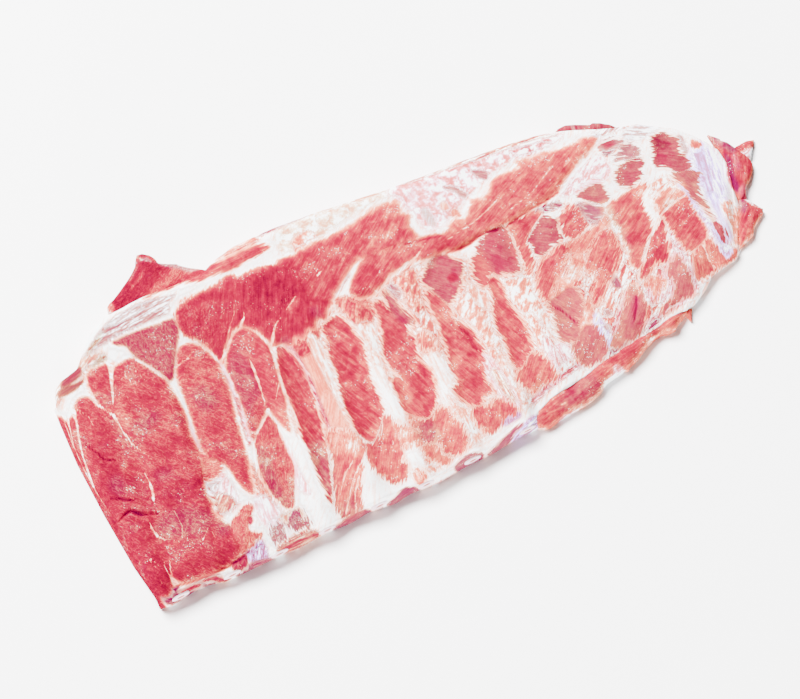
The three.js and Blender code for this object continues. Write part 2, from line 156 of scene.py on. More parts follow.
LEAN = [
    (0.44, 125, 0.3, 1.2, [  # thick muscles of the left end
        (-240, -100), (-240, 60), (-218, 62), (-214, 57), (-209, 57), (-206, 60), (-203, 64),
        (-199, 66.5), (-195, 66), (-192, 62), (-190.5, 57), (-190.5, 66), (-189, 74), (-187, 79),
        (-184, 80.5), (-177, 80), (-172, 79.5), (-171, 75), (-167, 75.5), (-160, 76), (-154, 74),
        (-150, 67), (-147, 60), (-143.5, 50), (-143, 40), (-143, 30), (-143.5, 22), (-146, 12),
        (-146.5, 0), (-147, -12), (-150, -18), (-153, -22), (-155, -30), (-155, -38), (-157, -42),
        (-156, -48), (-154, -52), (-151, -58), (-151, -66), (-152, -73), (-158, -77), (-165, -78.5),
        (-180, -77.5), (-195, -75), (-199, -72), (-203, -76), (-207, -79), (-211, -77), (-213, -82),
        (-218, -100)], "plain", 3.0),
    (0.66, 60, 0.9, 0.6, [  # its pale corner
        (-154, -57), (-147, -53), (-141, -49), (-136, -48.5), (-133, -51), (-134, -54), (-138, -57),
        (-141, -61), (-141, -66), (-136, -70), (-140, -73), (-148, -75.5), (-154, -76), (-154, -66)]),
    (0.68, 150, 1.2, 0.6, [  # its ragged end by the wide seam
        (-150, -4), (-144, -2), (-140, -8), (-136, -18), (-141, -23), (-147, -24),
        (-154, -20)], "plain", 3.0),
    (0.46, 100, 0.3, 1.0, [  # wedge between two seams
        (-163, 91), (-155, 91.5), (-148, 91), (-139, 90), (-128, 88.5), (-121.5, 88), (-120.5, 82),
        (-122.5, 76), (-127, 69), (-131, 63), (-134, 58), (-138, 52), (-140.5, 49.5), (-143, 51),
        (-146, 59), (-149, 66), (-152.5, 72), (-155, 78), (-156, 84), (-160, 87.5)], "ashen", 2.0),
    (0.48, 130, 0.3, 1.2, [  # muscle right of the wide seam
        (-138, 44), (-138.5, 36), (-139.5, 28), (-141, 18), (-143, 8), (-144.5, -4), (-145.5, -12),
        (-141, -14.5), (-137, -18), (-135, -23), (-134, -30), (-133, -36), (-131, -42), (-128.5, -44),
        (-127, -40), (-126, -34), (-124, -28), (-121, -20), (-119.5, -12), (-118, -5), (-116, 5),
        (-113.5, 15), (-111, 25), (-110, 32), (-109, 42), (-109.5, 50), (-112, 58), (-115, 64),
        (-119, 67.5), (-124, 68), (-128, 66), (-131, 62), (-134, 56), (-136.5, 50)], "plain", 3.0),
    (0.47, 120, 0.3, 0.8, [  # arched muscle
        (-106, 40), (-104, 44), (-99, 51), (-94, 56), (-90, 59.5), (-86, 60.5), (-81, 59), (-78, 54),
        (-76, 48), (-74.5, 42), (-75, 34), (-77.5, 24), (-80, 12), (-82, 2), (-84.5, -6), (-87, -14),
        (-89.5, -19), (-91.5, -14), (-93, -6), (-95, 1), (-99, 0), (-104, -4), (-109, -9), (-112.5, -12),
        (-112, -4), (-110, 5), (-108, 18), (-107, 30)], "plain", 2.2),
    (0.57, 68, 0.5, 0.6, [  # muscle below the arch
        (-97, -1.5), (-101, -3), (-106, -7), (-110, -11), (-113, -16), (-116, -26), (-119, -38),
        (-118.5, -48), (-117, -56), (-115, -62), (-111, -63.5), (-108, -60), (-105, -54), (-102, -48),
        (-99, -43), (-97.5, -36), (-97, -26), (-96, -16), (-95.5, -8)]),
    (0.60, 80, 1.6, 0, [
        (-120, -71), (-114, -68), (-109, -66), (-107.5, -70), (-107, -79), (-112, -80),
        (-118, -78)], "mauve"),
    (0.76, 80, 1.6, 0, [(-131, -72), (-125, -68), (-122, -72), (-124, -79), (-131, -80)], "mauve"),
    (0.46, 100, 0.8, -1.0, [  # first gap between ribs
        (-71, 36), (-69, 38), (-67, 35), (-64.5, 30), (-63.5, 22), (-63, 14), (-64, 6), (-66, -4),
        (-68, -14), (-69.5, -22), (-72, -30), (-73, -38), (-76, -44), (-79, -52), (-82, -60), (-85, -67),
        (-88, -73), (-89, -70), (-87.5, -62), (-87, -50), (-85.5, -40), (-84.5, -30), (-83, -20),
        (-80.5, -8), (-79.5, 2), (-79, 12), (-77, 22), (-74, 30)]),
    (0.66, 52, 1.5, -0.4, [  # its slanting foot
        (-71, -33), (-66, -30), (-60, -34), (-55, -38), (-51, -44), (-52, -52), (-57, -57), (-62, -64),
        (-66, -72), (-71, -80), (-73, -86), (-80, -88), (-87, -86), (-88, -79), (-85, -70), (-80, -59),
        (-75, -47)]),
    (0.47, 113, 1.0, -1.0, [  # second gap
        (-38, 36), (-34, 38), (-29, 39), (-25.5, 37), (-22.5, 30), (-21, 20), (-21.5, 10), (-24, 2),
        (-25.5, -4), (-27, -10), (-28, -20), (-29, -30), (-32, -36), (-36, -41), (-40, -45), (-45, -49),
        (-48.5, -47), (-51, -40), (-52, -30), (-50, -20), (-48, -10), (-47, -4), (-44, 3), (-43, 12),
        (-41, 22), (-38.5, 30)]),
    (0.60, 54, 1.6, -0.4, [
        (-51, -48), (-46, -50), (-41, -46), (-36, -42), (-31, -37), (-28.5, -42), (-29, -50), (-31, -58),
        (-33, -64), (-36, -69), (-34, -74), (-38, -80), (-43, -82), (-48, -80), (-52, -74), (-54, -66),
        (-54, -58)]),
    (0.80, 56, 2.2, 0, [
        (-30, -42), (-25, -46), (-19, -52), (-17, -60), (-20, -66), (-26, -64), (-31, -62), (-31, -52)]),
    (0.48, 109, 1.1, -1.0, [  # third gap
        (0, 35), (3, 35.5), (5, 33), (6, 28), (7.5, 30), (8, 39), (11, 40), (12, 34), (13, 28), (15, 20),
        (17.5, 12), (16, 10), (12, 12), (11, 8), (10.5, 0), (8, -6), (6.5, -10), (8, -16), (9, -24),
        (7, -34), (3, -42), (-2, -48), (-7, -51), (-12, -48), (-16, -44), (-18, -40), (-17, -30),
        (-15, -18), (-12, -15), (-10, -18), (-11, -8), (-11, 0), (-8, 8), (-4, 17), (-2, 26)]),
    (0.62, 48, 1.6, -0.4, [
        (-17, -44), (-12, -50), (-6, -53), (0, -50), (5, -50), (7, -56), (8, -66), (8.5, -75), (6, -80),
        (0, -83), (-5, -81), (-9, -77), (-8, -71), (-12, -68), (-17, -66), (-19, -62), (-16, -56),
        (-19, -52)]),
    (0.71, 45, 1.2, 0, [
        (-20, -68), (-14, -68), (-11, -72), (-12, -78), (-8, -83), (-12, -86), (-17, -80), (-20, -76)]),
    (0.78, 80, 1.0, 0, [(-34, -80), (-30, -78), (-27, -83), (-29, -89), (-34, -89)]),
    (0.62, 60, 2.4, 0, [(13, -1), (18, 0), (20, -4), (20, -10), (16, -10), (13, -7)], "plain", 3.0),
    (0.52, 134, 1.0, -1.0, [  # fourth gap, upper end
        (35.5, 34), (38, 37), (42, 41), (47, 45), (52, 47), (57, 44), (61, 39), (63.5, 34), (62, 29),
        (59, 25), (57, 21), (52, 17), (46, 13), (42, 12), (40, 18), (37.5, 26)], "ashen"),
    (0.55, 109, 1.2, -1.0, [  # fourth gap, lower end
        (31, 16), (33, 25), (36, 26), (39, 20), (41, 14), (41, 6), (40, 0), (43, -4), (46, -10),
        (47, -18), (46, -26), (44, -32), (41, -38), (38, -46), (39, -52), (37, -56), (31, -56), (27, -60),
        (22, -57), (18, -52), (16, -46), (17, -41), (21, -41), (23, -36), (22, -28), (25, -22), (27, -16),
        (28, -8), (30, 0), (30.5, 8)]),
    (0.58, 56, 1.6, -0.4, [
        (20, -62), (25, -60), (29, -63), (34, -62), (39, -62), (43, -66), (46, -72), (43, -76), (38, -75),
        (33, -78), (27, -80), (22, -79), (19.5, -72)]),
    (0.48, 128, 1.4, -1.0, [  # fifth gap, upper end
        (77, 37), (82, 42), (88, 44), (90, 46), (96, 46), (102, 44), (104, 36), (102, 30), (100, 22),
        (98, 16), (95, 11), (88, 12), (82, 15), (77, 20), (74, 13), (69, 12), (67, 18), (69, 26),
        (73, 33)], "dusky"),
    (0.53, 107, 1.2, -1.0, [  # fifth gap, lower end
        (72, 14), (79, 14), (79, 4), (77, -4), (78, -12), (79, -20), (78, -28), (77, -36), (75, -41),
        (70, -44), (66, -48), (61, -50), (59, -44), (61, -34), (63, -26), (63, -16), (66, -8), (70, 0),
        (72, 6)]),
    (0.59, 46, 1.6, -0.4, [
        (58, -50), (63, -50), (68, -47), (74, -45), (78, -49), (80, -56), (80, -64), (76, -68), (70, -67),
        (64, -69), (60, -66), (57, -58)]),
    (0.54, 24, 1.5, 0, [
        (103, 43), (112, 45), (122, 44), (128, 41), (124, 36), (116, 32), (110, 27), (109, 20), (106, 13),
        (101, 6), (98, 10), (100, 20), (102, 30)], "plain", 2),
    (0.50, 146, 1.8, -0.8, [
        (110, 27), (114, 30), (119, 33), (124, 37), (129, 37), (133, 33), (135, 27), (133, 21), (129, 16),
        (124, 17), (119, 15), (113, 13), (110, 18), (112, 23)], "ashen"),
    (0.52, 37, 2.0, 0.4, [
        (99, -12), (99, -6), (104, 1), (108, 6), (113, 11), (120, 13), (128, 14), (133, 11), (129, 5),
        (122, -1), (115, -7), (107, -12), (101, -18)], "plain", 2),
    (0.52, 28, 1.8, 0.4, [
        (135, 30), (141, 33), (149, 34.5), (153, 32), (152, 24), (150, 17), (144, 14), (138, 14),
        (134, 20)], "plain", 2),
    (0.56, 40, 2.2, 0.4, [
        (134, -9), (140, -2), (147, 4), (156, 9), (163, 10), (162, 0), (160, -10), (153, -17), (147, -21),
        (139, -27), (131, -33), (126, -34), (130, -26), (138, -18)], "plain", 2),
    (0.79, 38, 3.0, 0, [
        (100, -16), (112, -9), (122, -4), (132, 3), (138, 6), (136, -5), (130, -12), (120, -17),
        (110, -19)]),
    (0.72, 30, 2.6, 0, [
        (132, 12), (144, 13), (156, 16), (166, 20), (166, 12), (154, 9), (142, 2), (134, 4)]),
    (0.61, 122, 1.8, -0.8, [
        (99, -20), (104, -16), (111, -13), (116, -11), (120, -14), (122, -23), (119, -33), (116, -38),
        (112, -40), (109, -46), (103, -52), (98, -48), (95, -42), (97, -34), (100, -28)], "dusky"),
    (0.80, 46, 2.0, 0, [(112, -40), (118, -34), (125, -28), (124, -38), (118, -46), (108, -47)]),
    (0.59, 46, 1.6, -0.4, [
        (98, -57), (100, -52), (106, -47), (112, -42), (117, -42), (120, -50), (120, -58), (119, -64),
        (115, -69), (108, -70), (101, -69), (98, -63)], "dusky"),
    (0.65, 43, 1.8, 0.3, [
        (121, -64), (126, -60), (133, -54), (140, -47), (147, -39), (153, -33), (157, -34), (157, -44),
        (155, -54), (150, -60), (143, -67), (133, -68), (126, -69)], "dusky"),
    (0.57, 154, 1.4, -0.6, [
        (156.5, 40), (163, 42), (170, 43), (174, 41), (175, 35), (173, 29), (169, 26), (164, 29),
        (160, 34)], "ashen"),
    (0.64, 145, 2.4, -0.6, [
        (152, 31), (158, 32), (165, 28), (168, 23), (163, 18), (157, 19), (153, 25)], "mauve"),
    (0.72, 168, 1.6, -0.6, [
        (187, 63), (190, 66.5), (195, 66.5), (200, 64), (203, 60), (198, 59), (191, 60)], "mauve"),
    (0.67, 160, 2.0, -0.6, [
        (191, 50), (195, 55), (202, 58), (207, 57), (209.5, 50), (208, 44), (202, 46),
        (196, 49)], "mauve"),
    (0.52, 155, 1.5, -0.8, [
        (185, 38), (189, 44), (197, 46.5), (206, 46), (208, 43), (204, 38), (201, 33), (197, 31),
        (192, 27), (188, 30), (185, 33)], "ashen"),
    (0.52, 150, 1.3, -0.8, [
        (221, 53), (225, 54.5), (230, 54), (235, 50), (237, 43), (233, 36), (236, 31), (235, 24),
        (230, 20), (225, 22), (222, 27), (219, 31), (214, 34), (216, 41), (219, 46)], "ashen"),
    (0.60, 121, 1.6, -0.4, [
        (220, 24), (224, 24), (229, 24), (234, 20), (237, 14), (234, 10), (230, 6), (229, -4), (228, -18),
        (226, -12), (224, -2), (222, 6), (222, 14), (221, 18)], "ashen"),
    (0.48, 80, 1.4, 0, [
        (226, -21), (229, -22), (230, -31), (227, -35), (224, -33), (224.5, -27)], "dusky"),
    (0.58, 28, 1.2, 0.4, [
        (168, 24), (174, 25.5), (184, 26.5), (192, 27.5), (200, 27.5), (200, 24), (194, 19), (191, 12),
        (191, 2), (188, -4), (182, -10), (174, -17), (166, -25), (163, -20), (166, -8), (167, 4),
        (166, 16)], "plain", 2),
    (0.44, 44, 1.3, 0.6, [
        (197, -1), (195, -10), (192, -17), (188, -25), (183, -29), (177, -27), (170, -31), (163, -32),
        (168, -26), (174, -19), (181, -13), (189, -7)]),
    (0.60, 26, 1.1, 0.5, [
        (199, 12), (205, 15), (213, 16.5), (219, 13), (221, 4), (220, -8), (220, -20), (217, -27),
        (211, -29), (204, -31), (200, -30), (198.5, -18), (199, -4)], "plain", 2),
    (0.67, 67, 1.3, 0.3, [
        (199, -38), (204, -33), (211, -30), (217, -29), (219, -33), (220, -42), (222, -48), (230, -43),
        (231, -46), (226, -50), (216, -50.5), (206, -51), (196, -51), (197, -44)]),
    (0.60, 49, 1.5, 0.4, [
        (190, -29), (193, -30), (193, -42), (191, -54), (188, -59), (180, -58), (172, -61), (162, -62),
        (168, -57), (176, -52), (181, -46), (180, -38), (184, -33)], "dusky"),
    (0.87, 75, 0.7, 0.8, [
        (239, -10), (244, -10.5), (248, -14), (249.5, -19), (248, -25), (245, -30), (241, -35),
        (236, -41), (232, -44), (232, -38), (236, -30), (237, -22), (237, -15)]),
    (0.74, 75, 0.8, 0.4, [(243, 37), (246, 40), (248, 39), (251, 34), (249, 32), (244, 33)]),
    (0.74, 50, 2.6, 0, [
        (163, -38), (170, -34), (176, -35), (176, -42), (169, -47), (163, -50), (165, -44)]),
    (0.33, 62, 0.6, 0.8, [  # skirt muscle: thick left end
        (-119, 74), (-119, 88), (-114, 94), (-109, 97), (-100, 96.5), (-89, 95.5), (-82, 97), (-77, 98),
        (-72, 97), (-70, 94), (-58, 94), (-51, 92.5), (-44, 90), (-32, 90), (-24, 91), (-26, 78),
        (-29, 62), (-24, 50), (-29, 46), (-33, 41), (-38, 43), (-43, 38), (-47, 40), (-52, 35.5),
        (-57, 38), (-61, 35), (-66, 38.5), (-72, 40), (-74, 46), (-77, 54), (-81, 60), (-86, 61.5),
        (-91, 60.5), (-97, 55), (-102, 50), (-107, 44), (-109, 54), (-112, 64)], "plain", 5.0),
    (0.48, 36, 0.5, 0.8, [  # its middle
        (-44, 90), (-30, 90.5), (-15, 92), (-5, 91), (5, 92), (15, 93), (22, 95), (30, 96.5), (40, 95.5),
        (47, 95), (49, 90), (47, 84), (51, 80), (48, 74), (48, 66), (50, 58), (30, 62), (9, 66),
        (5, 67.5), (-2, 64.5), (-12, 58.5), (-19, 54), (-24, 50), (-32, 48), (-46, 44),
        (-44, 60)], "plain", 5.0),
    (0.54, 30, 0.6, 0.8, [  # its thin lower strand
        (-8, 44), (-10, 50), (-5, 57), (2, 62.5), (10, 67), (30, 70), (52, 62), (62, 59), (62, 48),
        (52, 46.5), (44, 46.5), (38, 49.5), (28, 49), (18, 48), (12, 45), (5, 42),
        (0, 41)], "plain", 2.5),
    (0.57, 24, 0.6, 0.8, [  # its right end
        (46, 60), (52, 60), (62, 58), (70, 61.5), (76, 63), (82, 62), (88, 67), (92, 71), (98, 69),
        (105, 71), (109, 75), (115, 77), (125, 77.5), (130, 78), (131, 81.5), (137, 81), (142, 79),
        (150, 79), (158, 77), (165, 75.5), (172, 75.5), (180, 76), (186, 74), (189, 71), (187, 69),
        (182, 65.5), (175, 62), (167, 60), (160, 57), (153, 53), (148, 49), (142, 47), (135, 46),
        (125, 46), (116, 45), (108, 44), (100, 44), (94, 46), (88, 45), (80, 44), (72, 43), (65, 44),
        (60, 46), (50, 47)], "plain", 4.5),
    (0.51, 3, 0.9, 0.5, [  # narrow strip on the rim
        (-132, 110), (-120, 109), (-105, 107.5), (-92, 103.5), (-78, 102), (-70, 100.5), (-60, 101.5),
        (-48, 102), (-42, 104), (-47, 108), (-62, 109.5), (-90, 111), (-110, 113)], "plain", 2.5),
    (0.50, 62, 0.4, 0.5, [  # root of the end flap
        (264, 35), (262.5, 28), (261, 22), (259, 16), (256, 9.5), (253, 3.3), (252, -3.7), (253, -10),
        (252, -16), (257, -14), (262, -6), (270, 4), (270, 20)], "pink"),
    (0.50, 40, 0.4, 0.3, [  # root of the end lobe
        (252, -15), (249.5, -24), (245.5, -29.7), (242, -34.7), (238, -40), (238, -46), (262, -36),
        (262, -20)], "pink"),
    (0.38, 60, 0.2, 0, [(-140, -57), (-137.5, -56.5), (-137, -59), (-139, -61), (-141, -60)], "pink"),
    (0.46, 5, 0.5, 0, [  # dark lean on the sawn face
        (-199, -80.5), (-192, -80), (-187, -81), (-188, -83), (-193, -82.5), (-198, -82.5)], "dusky"),
    (0.46, 5, 0.5, 0, [
        (-184, -80.5), (-176, -81), (-174, -84), (-169, -88), (-176, -87), (-178, -83.5)], "dusky"),
    (0.40, 60, 0.5, 0, [
        (-162.5, -79), (-157, -77.5), (-152, -78), (-153, -83), (-159, -86), (-163, -84)], "dusky"),
    (0.56, 10, 0.5, 0, [
        (-96, -89.8), (-90, -87.5), (-83, -85.2), (-76, -86.3), (-70, -89.8), (-72, -94),
        (-94, -94)], "mauve"),
    (0.58, 10, 0.5, 0, [
        (-58, -91.5), (-52, -89.5), (-44, -86.5), (-38, -89.5), (-35, -92.5), (-40, -96),
        (-57, -96)], "mauve"),
    (0.62, 10, 0.5, 0, [
        (-9, -90.5), (-5, -87.5), (2, -85.8), (8, -87), (12, -90.5), (8, -96), (-6, -96)], "mauve"),
    (0.70, 10, 0.5, 0, [(0, -89.2), (5, -88.8), (10, -89.5), (8, -91.3), (1, -91)]),
    (0.62, 20, 0.6, 0, [
        (14, -92), (17, -90.5), (23, -88.7), (30, -86.3), (37, -85), (43.5, -83.6), (44, -84.8),
        (38, -87), (33, -90), (27, -94), (16, -95)], "mauve"),
]

# A softly edged change within the lean: paleness, softness (mm), outline and hue.
Tint = namedtuple("Tint", "pale soft outline hue", defaults=("plain",))

LEAN_TINTS = [
    (0.34, 9, [
        (-240, -100), (-240, 2), (-214, 4), (-206, 30), (-198, 44), (-192, 30), (-190, 10), (-184, -18),
        (-196, -30), (-200, -60), (-190, -80)]),
    (0.26, 6, [(-182, -14), (-158, -14), (-152, -20), (-158, -28), (-180, -30)]),
    (0.34, 5, [(-186, -62), (-164, -58), (-153, -62), (-156, -76), (-186, -73)]),
    (0.28, 5, [(-212, -50), (-200, -52), (-200, -72), (-210, -76)]),
    (0.46, 4, [(-190, -31), (-172, -31), (-158, -44), (-168, -54), (-184, -48), (-194, -42)], "ashen"),
    (0.45, 5, [(-172, 26), (-150, 22), (-147, 0), (-158, 2), (-172, 12)]),
    (0.66, 4, [(-182, 56), (-176, 56), (-173, 42), (-178, 32), (-183, 38)]),
    (0.65, 2.5, [(-182, 46), (-176, 48), (-174, 40), (-180, 36)]),
    (0.56, 2.5, [(-167, 66), (-163, 66), (-162, 48), (-168, 48)]),
    (0.43, 4, [(-188, 76), (-172, 78), (-178, 54), (-187, 54)]),
    (0.55, 2, [(-149, 46), (-142, 46), (-142, 38), (-147, 40)]),
    (0.53, 4, [(-136, 46), (-112, 50), (-112, 36), (-136, 30)]),
    (0.48, 3, [
        (-105, 40), (-98, 50), (-93, 46), (-91, 32), (-93, 16), (-98, 10), (-107, 4),
        (-107, 24)], "dusky"),
    (0.44, 3, [(-104, 6), (-92, 12), (-90, 0), (-98, -2), (-106, -4)]),
    (0.62, 3, [(-91, 2), (-83, 2), (-86, -18), (-92, -18)]),
    (0.57, 3, [(-114, -18), (-109, -22), (-111, -42), (-113, -62), (-119, -58), (-119, -38)], "ashen"),
    (0.56, 2.5, [(-105, -12), (-98, -4), (-97, -38), (-101, -46)]),
    (0.54, 2, [(-139, -55), (-136, -55), (-138, -60), (-141, -59)]),
    (0.53, 5, [(-86, -34), (-73, -34), (-78, -56), (-88, -72), (-90, -56)], "ashen"),
    (0.80, 4, [(-72, -34), (-58, -34), (-52, -48), (-62, -50), (-74, -42)]),
    (0.65, 4, [(-90, -80), (-74, -76), (-74, -88), (-90, -88)], "dusky"),
    (0.44, 4, [(-50, -46), (-38, -42), (-40, -54), (-52, -58)]),
    (0.68, 3, [(-46, -44), (-30, -38), (-29, -52), (-38, -52)]),
    (0.46, 2.5, [(7, 40), (13, 41), (18, 11), (11, 12), (7, 22)], "ashen"),
    (0.63, 5, [(-17, -18), (-8, -18), (-4, -40), (-17, -40)]),
    (0.52, 4, [(-17, -52), (-6, -54), (-8, -68), (-19, -66)], "ashen"),
    (0.49, 3, [(28, -1), (42, -3), (46, -14), (44, -24), (29, -22)]),
    (0.26, 1.2, [(51, 29), (56, 30), (57, 25.5), (52, 25)]),
    (0.56, 4, [(66, 10), (78, 12), (80, 36), (70, 32)]),
    (0.60, 3, [(62, -44), (70, -44), (66, -50), (60, -50)]),
    (0.60, 5, [(100, 8), (110, 20), (104, 44), (98, 20)]),
    (0.49, 2.5, [(140, -58), (148, -46), (152, -40), (154, -46), (146, -54), (142, -60)], "pink"),
    (0.55, 3, [(142, -66), (156, -56), (157, -44), (152, -50), (140, -62)], "dusky"),
    (0.20, 7, [(-76, 62), (-66, 88), (-44, 88), (-34, 90), (-34, 62), (-52, 56)]),
    (0.39, 4, [(-112, 88), (-96, 90), (-96, 84), (-112, 82)]),
    (0.34, 5, [
        (-102, 46), (-80, 64), (-68, 60), (-70, 42), (-60, 40), (-28, 46), (-34, 58), (-60, 54),
        (-78, 68), (-100, 62)]),
    (0.48, 9, [(-24, 76), (-24, 92), (30, 96), (30, 86), (10, 76)]),
    (0.49, 6, [(-20, 60), (0, 70), (20, 76), (20, 84), (-4, 76), (-22, 66)]),
    (0.66, 5, [(10, 70), (34, 72), (38, 84), (24, 80), (12, 74)]),
    (0.61, 4, [(30, 88), (50, 97), (52, 64), (42, 62), (42, 80)]),
    (0.61, 3, [(43, 94), (51, 96), (52, 64), (46, 64)]),
    (0.64, 2.5, [(34, 98), (12, 94), (12, 91), (34, 93)]),
    (0.60, 4, [(26, 62), (48, 66), (48, 60), (30, 56)]),
    (0.43, 5, [(-6, 45), (4, 44), (14, 52), (12, 62), (-2, 58)]),
    (0.55, 4, [(38, 52), (50, 58), (66, 56), (60, 47), (48, 47)]),
    (0.70, 3, [(56, 60), (70, 62), (84, 62), (90, 68), (106, 72), (102, 66), (84, 57), (66, 57)]),
    (0.64, 2, [(70, 62), (82, 63), (92, 71), (98, 70), (88, 62), (76, 60)]),
    (0.62, 5, [(100, 52), (140, 56), (170, 66), (150, 52), (110, 46)]),
    (0.63, 4, [(150, 54), (176, 72), (170, 60)]),
    (0.68, 4, [(172, 78), (192, 74), (188, 66), (172, 62), (166, 66)]),
    (0.60, 2, [(181, 76), (191, 74), (188, 68), (184, 66)]),
    (0.42, 3, [(222, 51), (227, 53), (230, 44), (223, 43)], "brown"),
    (0.41, 3, [(216, 40), (222, 44), (224, 30), (216, 34)], "dusky"),
    (0.48, 2, [(190, 66), (197, 66), (197, 61), (191, 61)], "dusky"),
    (0.82, 3, [(198, 5), (221, 6), (221, 18), (198, 18)]),
    (0.74, 2, [(193, 28), (201, 28), (196, 20), (192, 22)]),
    (0.78, 3, [(165, 26), (172, 26), (171, 4), (166, -16), (164, 0)], "dusky"),
    (0.49, 5, [(204, 0), (218, 2), (218, -20), (206, -22)]),
    (0.40, 3, [(-174, 47), (-150, 46), (-147, 39), (-172, 40)]),
    (0.74, 1.5, [(-150, -12), (-142, -11), (-139, -14), (-148, -16)]),
    (0.33, 4, [(-73, 38), (-60, 47), (-44, 50), (-28, 48), (-34, 36), (-52, 33), (-68, 34)]),
    (0.37, 2.5, [(-56, 48), (-44, 50), (-42, 44), (-52, 42)]),
    (0.38, 1.5, [(-67, 41), (-62, 42), (-60, 38), (-65, 37)], "dusky"),
    (0.36, 2, [(-40, 51), (-35, 51), (-34, 45), (-39, 44)], "dusky"),
    (0.28, 2.5, [(-86, 77), (-82, 79), (-76, 66), (-80, 62)]),
    (0.56, 2, [(-52, 59), (-44, 63), (-43, 59), (-50, 56)]),
    (0.37, 2.5, [(-104, 66), (-98, 76), (-95, 74), (-101, 62)]),
    (0.28, 1.5, [(-104, 91), (-92, 92), (-92, 90), (-103, 89)]),
    (0.48, 4, [(-206, 50), (-196, 60), (-192, 48), (-202, 40)]),
    (0.38, 3, [(-208, 4), (-200, 8), (-197, -2), (-204, -6)], "ashen"),
    (0.53, 3, [(-194, 14), (-186, 12), (-187, 2), (-194, 4)]),
    (0.30, 2.5, [(-200, 30), (-196, 34), (-193, 22), (-198, 18)]),
    (0.50, 4, [(-176, 34), (-160, 36), (-160, 28), (-174, 26)], "ashen"),
    (0.44, 3, [(-176, 8), (-166, 10), (-164, 2), (-175, 0)]),
    (0.40, 4, [(-178, -2), (-168, -4), (-170, -10), (-178, -9)], "dusky"),
    (0.52, 3, [(-160, -52), (-152, -50), (-152, -58), (-160, -60)], "ashen"),
    (0.50, 4.5, [(-134, 34), (-124, 36), (-120, 22), (-132, 20)], "ashen"),
    (0.42, 3, [(-134, 14), (-122, 14), (-124, 4), (-134, 4)]),
    (0.40, 4, [(-136, -8), (-126, -4), (-122, -14), (-134, -18)]),
    (0.64, 2, [(-118, 92), (-108, 98), (-92, 98), (-108, 93)]),
]

